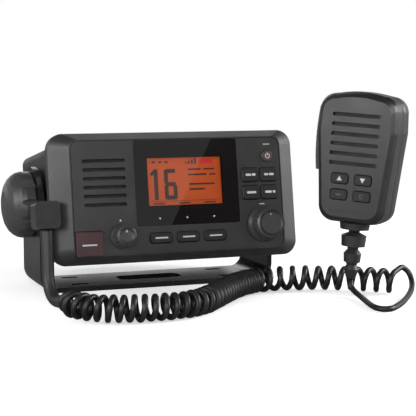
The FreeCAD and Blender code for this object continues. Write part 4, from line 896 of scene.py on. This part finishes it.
@dataclass
class DisplayPicture:
    """Digits and small marks on the lit display, in millimetres.

    A mark is a bar's x, z, width, height and corner: three dashes, six lines, four signal bars, a rule and its feet.
    """

    digit_low: float = -4.2
    digit_high: float = 16.0
    digit_width: float = 8.8
    stroke: float = 2.7
    one_x: float = -16.2
    six_x: float = -4.8
    marks: tuple[Mark, ...] = (
        (-16.0, 20.6, 2.6, 1.3, 0.3), (-11.6, 20.6, 2.6, 1.3, 0.3), (-7.2, 20.6, 2.6, 1.3, 0.3),
        (12.0, 15.4, 9.0, 1.1, 0.2), (22.4, 15.4, 7.6, 1.1, 0.2), (14.0, 11.9, 13.0, 1.1, 0.2),
        (24.8, 11.9, 4.2, 1.1, 0.2), (17.0, 5.6, 18.0, 1.1, 0.2), (13.4, 2.2, 11.0, 1.1, 0.2),
        (6.6, 19.6, 1.2, 1.2, 0.1), (8.7, 20.05, 1.2, 2.1, 0.1), (10.8, 20.5, 1.2, 3.0, 0.1),
        (12.9, 20.95, 1.2, 3.9, 0.1), (4.3, -5.1, 48.0, 0.3, 0.0),
        (-13.5, -6.6, 8.0, 0.9, 0.2), (4.2, -6.6, 8.0, 0.9, 0.2), (22.0, -6.6, 8.0, 0.9, 0.2),
    )
    patch: Mark = (20.6, 20.6, 9.6, 3.2, 0.5)

    def one(self, x: float) -> list[list[Flat]]:
        """A figure one: an upright with a short flag."""
        middle, height = (self.digit_low + self.digit_high) / 2, self.digit_high - self.digit_low
        return [bar(x + 1.3, middle, self.stroke, height, 0.3),
                bar(x - 0.9, self.digit_high - 2.6, 3.6, self.stroke * 0.8, 0.2, 40)]

    def six(self, x: float) -> list[list[Flat]]:
        """A figure six in six segments."""
        low, high, s, width = self.digit_low, self.digit_high, self.stroke, self.digit_width
        middle, reach = (low + high) / 2, (high - low) / 2
        bars = [bar(x, z, width - s * 0.7, s, 0.3) for z in (low + s / 2, middle, high - s / 2)]
        bars.append(bar(x - width / 2 + s / 2, middle + reach / 2, s, reach - 1.2, 0.3))
        bars += [bar(x + side * (width / 2 - s / 2), middle - reach / 2, s, reach - 1.2, 0.3) for side in (-1, 1)]
        return bars

    def build(self) -> None:
        """Makes the digits and the marks beside them."""
        for name, outlines, surface in (
            ("display_digits", self.one(self.one_x) + self.six(self.six_x), Surface.DARK_INK),
            ("display_marks", [bar(*mark) for mark in self.marks], Surface.DARK_INK),
            ("display_patch", [bar(*self.patch)], Surface.PATCH),
        ):
            flat_piece(name, outlines, LCD_TOP_Y, surface, "radio")


@dataclass
class FacePrint:
    """White print on the face, the window and the keys, in millimetres.

    A square key's row gives its name, its middle, and the shift and width of each strip on it.
    """

    soft_key_x: tuple[float, ...] = (-14.6, 4.2, 23.0)
    soft_key_z: float = -29.0
    soft_strip: Flat = (8.6, 1.0)
    tick_z: float = -16.3
    tick: float = 0.9
    key_strips: tuple[tuple[str, float, float, tuple[Flat, ...]], ...] = (
        ("upper_left", 50.2, 10.2, ((-1.7, 3.6), (2.1, 2.8))),
        ("upper_right", 63.6, 10.2, ((-2.1, 2.8), (1.6, 3.4))),
        ("lower_left", 50.2, -1.6, ((0.0, 6.6),)),
        ("lower_right", 63.6, -1.6, ((-1.2, 4.6), (2.9, 1.8))),
    )
    strip_height: float = 1.5
    round_key: Flat = (63.2, 22.6)
    power_ring: Flat = (1.7, 1.25)
    face_strips: tuple[Mark, ...] = ((63.2, 30.6, 4.6, 0.6, 0.2), (57.7, -9.4, 3.6, 0.6, 0.2))
    volume_tick: Flat = (-41.5, -16.6)
    cover_strip: Mark = (-62.8, -31.6, 9.6, 1.0, 0.3)
    cover_rise: float = 1.0

    def put(self, name: str, outlines: list[list[Flat]], y: float, body: str) -> None:
        """Prints outlines on a face at y, riding on a body."""
        flat_piece(name, outlines, y, Surface.INK, body)

    def build(self) -> None:
        """Prints the legends."""
        for word, x in zip(("left", "centre", "right"), self.soft_key_x):
            strip = bar(x, self.soft_key_z, *self.soft_strip, 0.3)
            self.put(word + "_soft_key_bar", [strip], KEY_TOP_Y, word + "_soft_key_cap")
        ticks = [triangle(x, self.tick_z, self.tick, -90) for x in self.soft_key_x]
        self.put("window_ticks", ticks, FACE_Y - 0.1, "radio")
        for name, x, z, parts in self.key_strips:
            strips = [bar(x + shift, z, width, self.strip_height, 0.4) for shift, width in parts]
            self.put(name + "_key_mark", strips, KEY_TOP_Y, name + "_key_cap")
        x, z = self.round_key
        power = [ring_outline(x, z, *self.power_ring, 120, 300), bar(x, z + 1.2, 0.5, 1.8, 0.1)]
        self.put("round_key_mark", power, KEY_TOP_Y, "round_key_cap")
        legends = [*(bar(*mark) for mark in self.face_strips), triangle(*self.volume_tick, self.tick, 90)]
        self.put("face_marks", legends, FACE_Y, "radio")
        flat_piece("distress_cover_bar", [bar(*self.cover_strip)], FACE_Y - self.cover_rise, Surface.INK, "cover")


@dataclass
class FaceControl:
    """Grip ribs, top ring and pointer of one knob on the face, in millimetres."""

    word: str
    x: float
    z: float
    cap: float
    flutes: int
    height: float = 12.5
    gap: float = 1.2
    rib_radius: float = 0.42
    rib_length: float = 6.6
    rib_drop: float = 4.9
    ring: tuple[Flat, ...] = ((-2.6, -0.5), (-1.5, -0.3), (-1.2, 0.12), (-1.7, 0.2), (-2.7, -0.2))

    def build(self, ribs: Grower) -> None:
        """Makes the knob's trim.

        Args:
            ribs: The tree that grows a ring of ribs.
        """
        upright = Matrix.Translation((self.x / 1000, 0, self.z / 1000)) @ Matrix.Rotation(math.radians(90), 4, "X")
        place, body, top = RADIO_PLACE @ upright, self.word + "_control", self.gap + self.height - FACE_Y
        sizes = {"Count": self.flutes, "Ring Radius": (self.cap - 0.05) / 1000,
                 "Rib Radius": self.rib_radius / 1000, "Rib Length": self.rib_length / 1000}
        grip = ribs.grow(self.word + "_grip", Surface.KNOB, sizes)
        grip.transform(Matrix.Translation((0, 0, (top - self.rib_drop) / 1000)))
        show(self.word + "_grip", grip, Surface.KNOB, body, place)
        ring = lathe(self.word + "_cap_ring", [(self.cap + out, up) for out, up in self.ring], 64)
        ring.transform(Matrix.Translation((0, 0, top / 1000)))
        show(self.word + "_cap_ring", ring, Surface.BEZEL, body, place)
        pointer = bar(self.x, self.z + self.cap - 3.6, 0.7, 2.2, 0.2)
        flat_piece(self.word + "_pointer", [pointer], 0.62 - top, Surface.INK, body, thick=0.1)


@dataclass
class Microphone:
    """Dark sheet behind the slots as painted shade, press-bar ribs, key marks and screw recesses of the microphone,
    in millimetres.
    """

    front_depth: float = 13.0
    rear_depth: float = 14.0
    vent_shade_sheet: Mark = (0.0, 54.7, 36.0, 37.0, 2.0)
    vent_shade_depth: float = 2.45
    vent_shade_thick: float = 0.3
    talk_x: float = -29.55
    talk_z: float = 54.0
    talk_half: float = 21.0
    talk_bow: float = 1.4
    rib_count: int = 9
    rib_step: float = 4.0
    rib_radius: float = 0.7
    rib_length: float = 10.4
    key_x: float = 8.0
    key_z: Flat = (29.0, 18.5)
    key_rise: float = 0.9
    screw_x: float = 16.0
    screw_z: Flat = (12.0, 74.0)
    slot: Point = (0.0032, 0.0006, 0.0006)

    def build(self, ribs: Grower, recesses: Grower) -> None:
        """Makes the microphone's trim.

        Args:
            ribs: The tree that grows a straight row of ribs.
            recesses: The tree that grows screw recesses.
        """
        # A dark cloth sheet just behind the slots paints the shade inside them.
        flat_piece("mic_vent_shade_sheet", [bar(*self.vent_shade_sheet)], self.vent_shade_depth - self.front_depth, Surface.CLOTH,
                   "microphone", MIC_PLACE, self.vent_shade_thick)
        show("ptt_ribs", self.talk_ribs(ribs), Surface.RUBBER, "ptt", MIC_PLACE)
        marks = {
            "mic_up_left_key": [triangle(-self.key_x, self.key_z[0] - 0.3, 2.1, 90)],
            "mic_up_right_key": [triangle(self.key_x, self.key_z[0] + 0.3, 2.1, -90)],
            "mic_low_left_key": [bar(-self.key_x, self.key_z[1], 3.4, 0.7, 0.2)],
            "mic_low_right_key": [ring_outline(self.key_x, self.key_z[1], 1.5, 1.0, 20, 320)],
        }
        for key, outlines in marks.items():
            ink = Surface.INK if "_up_" in key else Surface.FAINT_INK
            flat_piece(key + "_mark", outlines, -self.front_depth - self.key_rise, ink, key + "_cap",
                       MIC_PLACE)
        screws = [(side * self.screw_x / 1000, (self.rear_depth - 0.1) / 1000, z / 1000) for side in (-1, 1)
                  for z in self.screw_z]
        show_recesses(recesses, "mic_screw_recesses", screws, self.slot, "microphone", MIC_PLACE)

    def talk_ribs(self, ribs: Grower) -> bpy.types.Mesh:
        """Grows a straight row of ribs and bows it to the talk bar's face.

        Args:
            ribs: The tree that grows the row.

        Returns:
            The mesh in the microphone's frame.
        """
        step = self.rib_step / 1000
        sizes = {"Count": self.rib_count, "Start": (-step * (self.rib_count - 1) / 2, 0.0, 0.0),
                 "Step": (step, 0.0, 0.0), "Rib Radius": self.rib_radius / 1000,
                 "Rib Length": self.rib_length / 1000}
        row = ribs.grow("ptt_ribs", Surface.RUBBER, sizes)
        row.transform(Matrix.Rotation(math.radians(-90), 4, "X"))
        for vertex in row.vertices:
            along, across, out = vertex.co
            bow = self.talk_bow / 1000 * (along / (self.talk_half / 1000)) ** 2
            vertex.co = (self.talk_x / 1000 + bow + out, across, along + self.talk_z / 1000)
        return row


@dataclass
class RearFittings:
    """Thread of the antenna socket and the recesses of the case screws, in millimetres."""

    antenna: Flat = (48.0, 12.0)
    socket_start: float = 55.0
    socket_radius: float = 7.9
    thread_turns: float = 9.0
    thread_start: float = 1.6
    thread_length: float = 11.5
    thread_wire: float = 0.4
    screw_x: float = 79.4
    screw_z: Flat = (-37.0, 34.0)
    screw_head_y: float = -47.5
    slot: Point = (0.0034, 0.0004, 0.0007)

    def build(self, threads: Grower, recesses: Grower) -> None:
        """Makes the trim on the back.

        Args:
            threads: The tree that winds a thread.
            recesses: The tree that grows screw recesses.
        """
        sizes = {"Turns": self.thread_turns, "Thread Radius": (self.socket_radius + 0.02) / 1000,
                 "Height": self.thread_length / 1000, "Wire": self.thread_wire / 1000}
        thread = threads.grow("antenna_thread", Surface.STEEL, sizes)
        x, z = self.antenna
        out = Matrix.Translation((x / 1000, (self.socket_start + self.thread_start) / 1000, z / 1000))
        show("antenna_thread", thread, Surface.STEEL, "radio",
             RADIO_PLACE @ out @ Matrix.Rotation(math.radians(-90), 4, "X"))
        places = [(side * self.screw_x / 1000, self.screw_head_y / 1000, z / 1000) for side in (-1, 1)
                  for z in self.screw_z]
        show_recesses(recesses, "case_screw_recesses", places, self.slot, "radio", RADIO_PLACE)


# Studio


@dataclass
class Studio:
    """Camera, floor, card, world and lamps; a sky level is its height and strength."""

    eye: Point = (-0.2715, -0.8397, 0.1489)
    turn: float = 20.66
    dip: float = 6.26
    lens: float = 108.7
    sensor: float = 36.0
    aim: Point = (0.02, -0.06, 0.05)
    floor_half: float = 3.0
    fade: Flat = (0.26, 0.62)
    floor_lift: float = 0.5
    paper: tuple[Colour, Colour] = ((0.86, 0.86, 0.86), (0.89, 0.89, 0.89))
    mirrored_paper: Colour = (0.30, 0.30, 0.30)
    cloth: tuple[Colour, Colour] = ((0.003, 0.003, 0.003), (0.008, 0.008, 0.008))
    low_sky: Flat = (0.15, 0.8)
    high_sky: Flat = (0.65, 0.06)
    card: tuple[Point, ...] = ((0.166, -0.70, 0.10), (0.40, -0.70, 0.10), (0.40, -0.70, 0.36), (0.321, -0.70, 0.36))
    lamps: tuple[tuple[str, Point, float, float], ...] = (
        ("left_lamp", (-0.95, -0.35, 0.40), 0.45, 5.5),
        ("right_lamp", (0.95, -0.30, 0.40), 0.45, 11.0),
        ("top_lamp", (0.0, -0.2, 1.1), 0.6, 1.0),
        ("front_lamp", (-0.45, -1.15, 0.40), 0.5, 6.5),
        ("back_lamp", (0.3, 0.8, 0.5), 0.5, 1.0),
    )

    def camera(self) -> None:
        """Sets the camera where the photograph was taken from."""
        data = bpy.data.cameras.new("camera")
        data.lens = self.lens
        data.sensor_width = self.sensor
        data.clip_start = 0.01
        turn, dip = math.radians(self.turn), math.radians(self.dip)
        forward = Vector((math.sin(turn) * math.cos(dip), math.cos(turn) * math.cos(dip), -math.sin(dip)))
        camera = bpy.data.objects.new("camera", data)
        camera.location = self.eye
        camera.rotation_euler = forward.to_track_quat("-Z", "Y").to_euler()
        bpy.context.scene.collection.objects.link(camera)
        bpy.context.scene.camera = camera

    def floor(self) -> None:
        """Lays the pale floor, which fades to white for the camera and is darker paper in reflections."""
        mesh = bpy.data.meshes.new("floor")
        r = self.floor_half
        mesh.from_pydata([(-r, -r, 0), (r, -r, 0), (r, r, 0), (-r, r, 0)], [], [(0, 1, 2, 3)])
        n = Nodes("floor_paper")
        rays = n.add("ShaderNodeLightPath")
        seen = n.math("MAXIMUM", rays.outputs["Is Camera Ray"], rays.outputs["Is Transmission Ray"])
        where = n.place()
        far = n.add("ShaderNodeVectorMath", {"operation": "LENGTH"}, i0=where).outputs["Value"]
        fade = n.remap(far, 0.0, 1.0, *self.fade)
        weave = n.blend(n.noise(where, 400.0), *map(rgba, self.paper))
        mirrored = n.blend(rays.outputs["Is Glossy Ray"], weave, rgba(self.mirrored_paper))
        paper = n.add("ShaderNodeBsdfDiffuse", Color=mirrored)
        lift = n.add("ShaderNodeEmission", Color=(1.0, 1.0, 1.0, 1.0),
                     Strength=n.math("MULTIPLY", seen, self.floor_lift))
        near = n.add("ShaderNodeAddShader", i0=paper.outputs[0], i1=lift.outputs[0])
        white = n.add("ShaderNodeEmission", Color=(1.0, 1.0, 1.0, 1.0), Strength=1.0)
        both = n.add("ShaderNodeMixShader", i0=n.math("MULTIPLY", fade, seen), i1=near.outputs[0],
                     i2=white.outputs[0])
        mesh.materials.append(n.finish(both.outputs[0]))
        floor = bpy.data.objects.new("floor", mesh)
        bpy.context.scene.collection.objects.link(floor)

    def flag(self) -> None:
        """Stands a dark card beside the camera; its slanted edge crosses the window as a reflection."""
        mesh = bpy.data.meshes.new("flag")
        mesh.from_pydata([tuple(p) for p in self.card], [], [(0, 1, 2, 3)])
        n = Nodes("flag_cloth")
        where = n.place()
        nap = n.blend(n.noise(where, 900.0), *map(rgba, self.cloth))
        cloth = n.add("ShaderNodeBsdfDiffuse", Color=nap)
        mesh.materials.append(n.finish(cloth.outputs[0]))
        flag = bpy.data.objects.new("flag", mesh)
        flag.visible_camera = flag.visible_diffuse = flag.visible_shadow = False
        bpy.context.scene.collection.objects.link(flag)

    def world(self) -> None:
        """White to the camera and through glass; for light and reflections it dims with height."""
        world = bpy.data.worlds.new("studio")
        bpy.context.scene.world = world
        world.use_nodes = True
        tree = world.node_tree
        tree.nodes.clear()
        nodes = {name: tree.nodes.new("ShaderNode" + kind) for name, kind in (
            ("rays", "LightPath"), ("coords", "TexCoord"), ("split", "SeparateXYZ"), ("height", "MapRange"),
            ("direct", "Math"), ("power", "Mix"), ("sky", "Background"), ("out", "OutputWorld"))}
        nodes["direct"].operation = "MAXIMUM"
        height = nodes["height"].inputs
        for end, (up, strength) in (("Min", self.low_sky), ("Max", self.high_sky)):
            height["From " + end].default_value = up
            height["To " + end].default_value = strength
        nodes["power"].inputs["B"].default_value = 1.0
        nodes["sky"].inputs["Color"].default_value = (1.0, 1.0, 1.0, 1.0)
        for source, output, target, input_name in (
            ("coords", "Generated", "split", "Vector"), ("split", "Z", "height", "Value"),
            ("rays", "Is Camera Ray", "direct", 0), ("rays", "Is Transmission Ray", "direct", 1),
            ("direct", "Value", "power", "Factor"), ("height", "Result", "power", "A"),
            ("power", "Result", "sky", "Strength"), ("sky", "Background", "out", "Surface"),
        ):
            tree.links.new(nodes[source].outputs[output], nodes[target].inputs[input_name])

    def light(self) -> None:
        """Hangs the soft lamps, each aimed at the radio."""
        for name, place, size, power in self.lamps:
            data = bpy.data.lights.new(name, "AREA")
            data.size = size
            data.energy = power
            lamp = bpy.data.objects.new(name, data)
            lamp.location = place
            lamp.rotation_euler = (Vector(self.aim) - Vector(place)).to_track_quat("-Z", "Y").to_euler()
            bpy.context.scene.collection.objects.link(lamp)

    def build(self) -> None:
        """Sets up the whole studio."""
        self.camera()
        self.floor()
        self.flag()
        self.world()
        self.light()
        bpy.context.scene.view_settings.view_transform = "Standard"


def main() -> None:
    """Builds the camera and cords first, then the rest of the radio."""
    logging.basicConfig(level=logging.INFO, format="%(message)s")
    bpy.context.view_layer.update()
    Studio().build()
    CordSet().build()
    dress_nodes()
    ring, row, recess, thread = ring_grower(), row_grower(), recess_grower(), thread_grower()
    DisplayPicture().build()
    FacePrint().build()
    FaceControl("volume", -41.5, -26.8, 6.7, 14).build(ring)
    FaceControl("channel", 58.0, -23.0, 10.0, 18).build(ring)
    Microphone().build(row, recess)
    RearFittings().build(thread, recess)


if __name__ == "__main__":
    main()
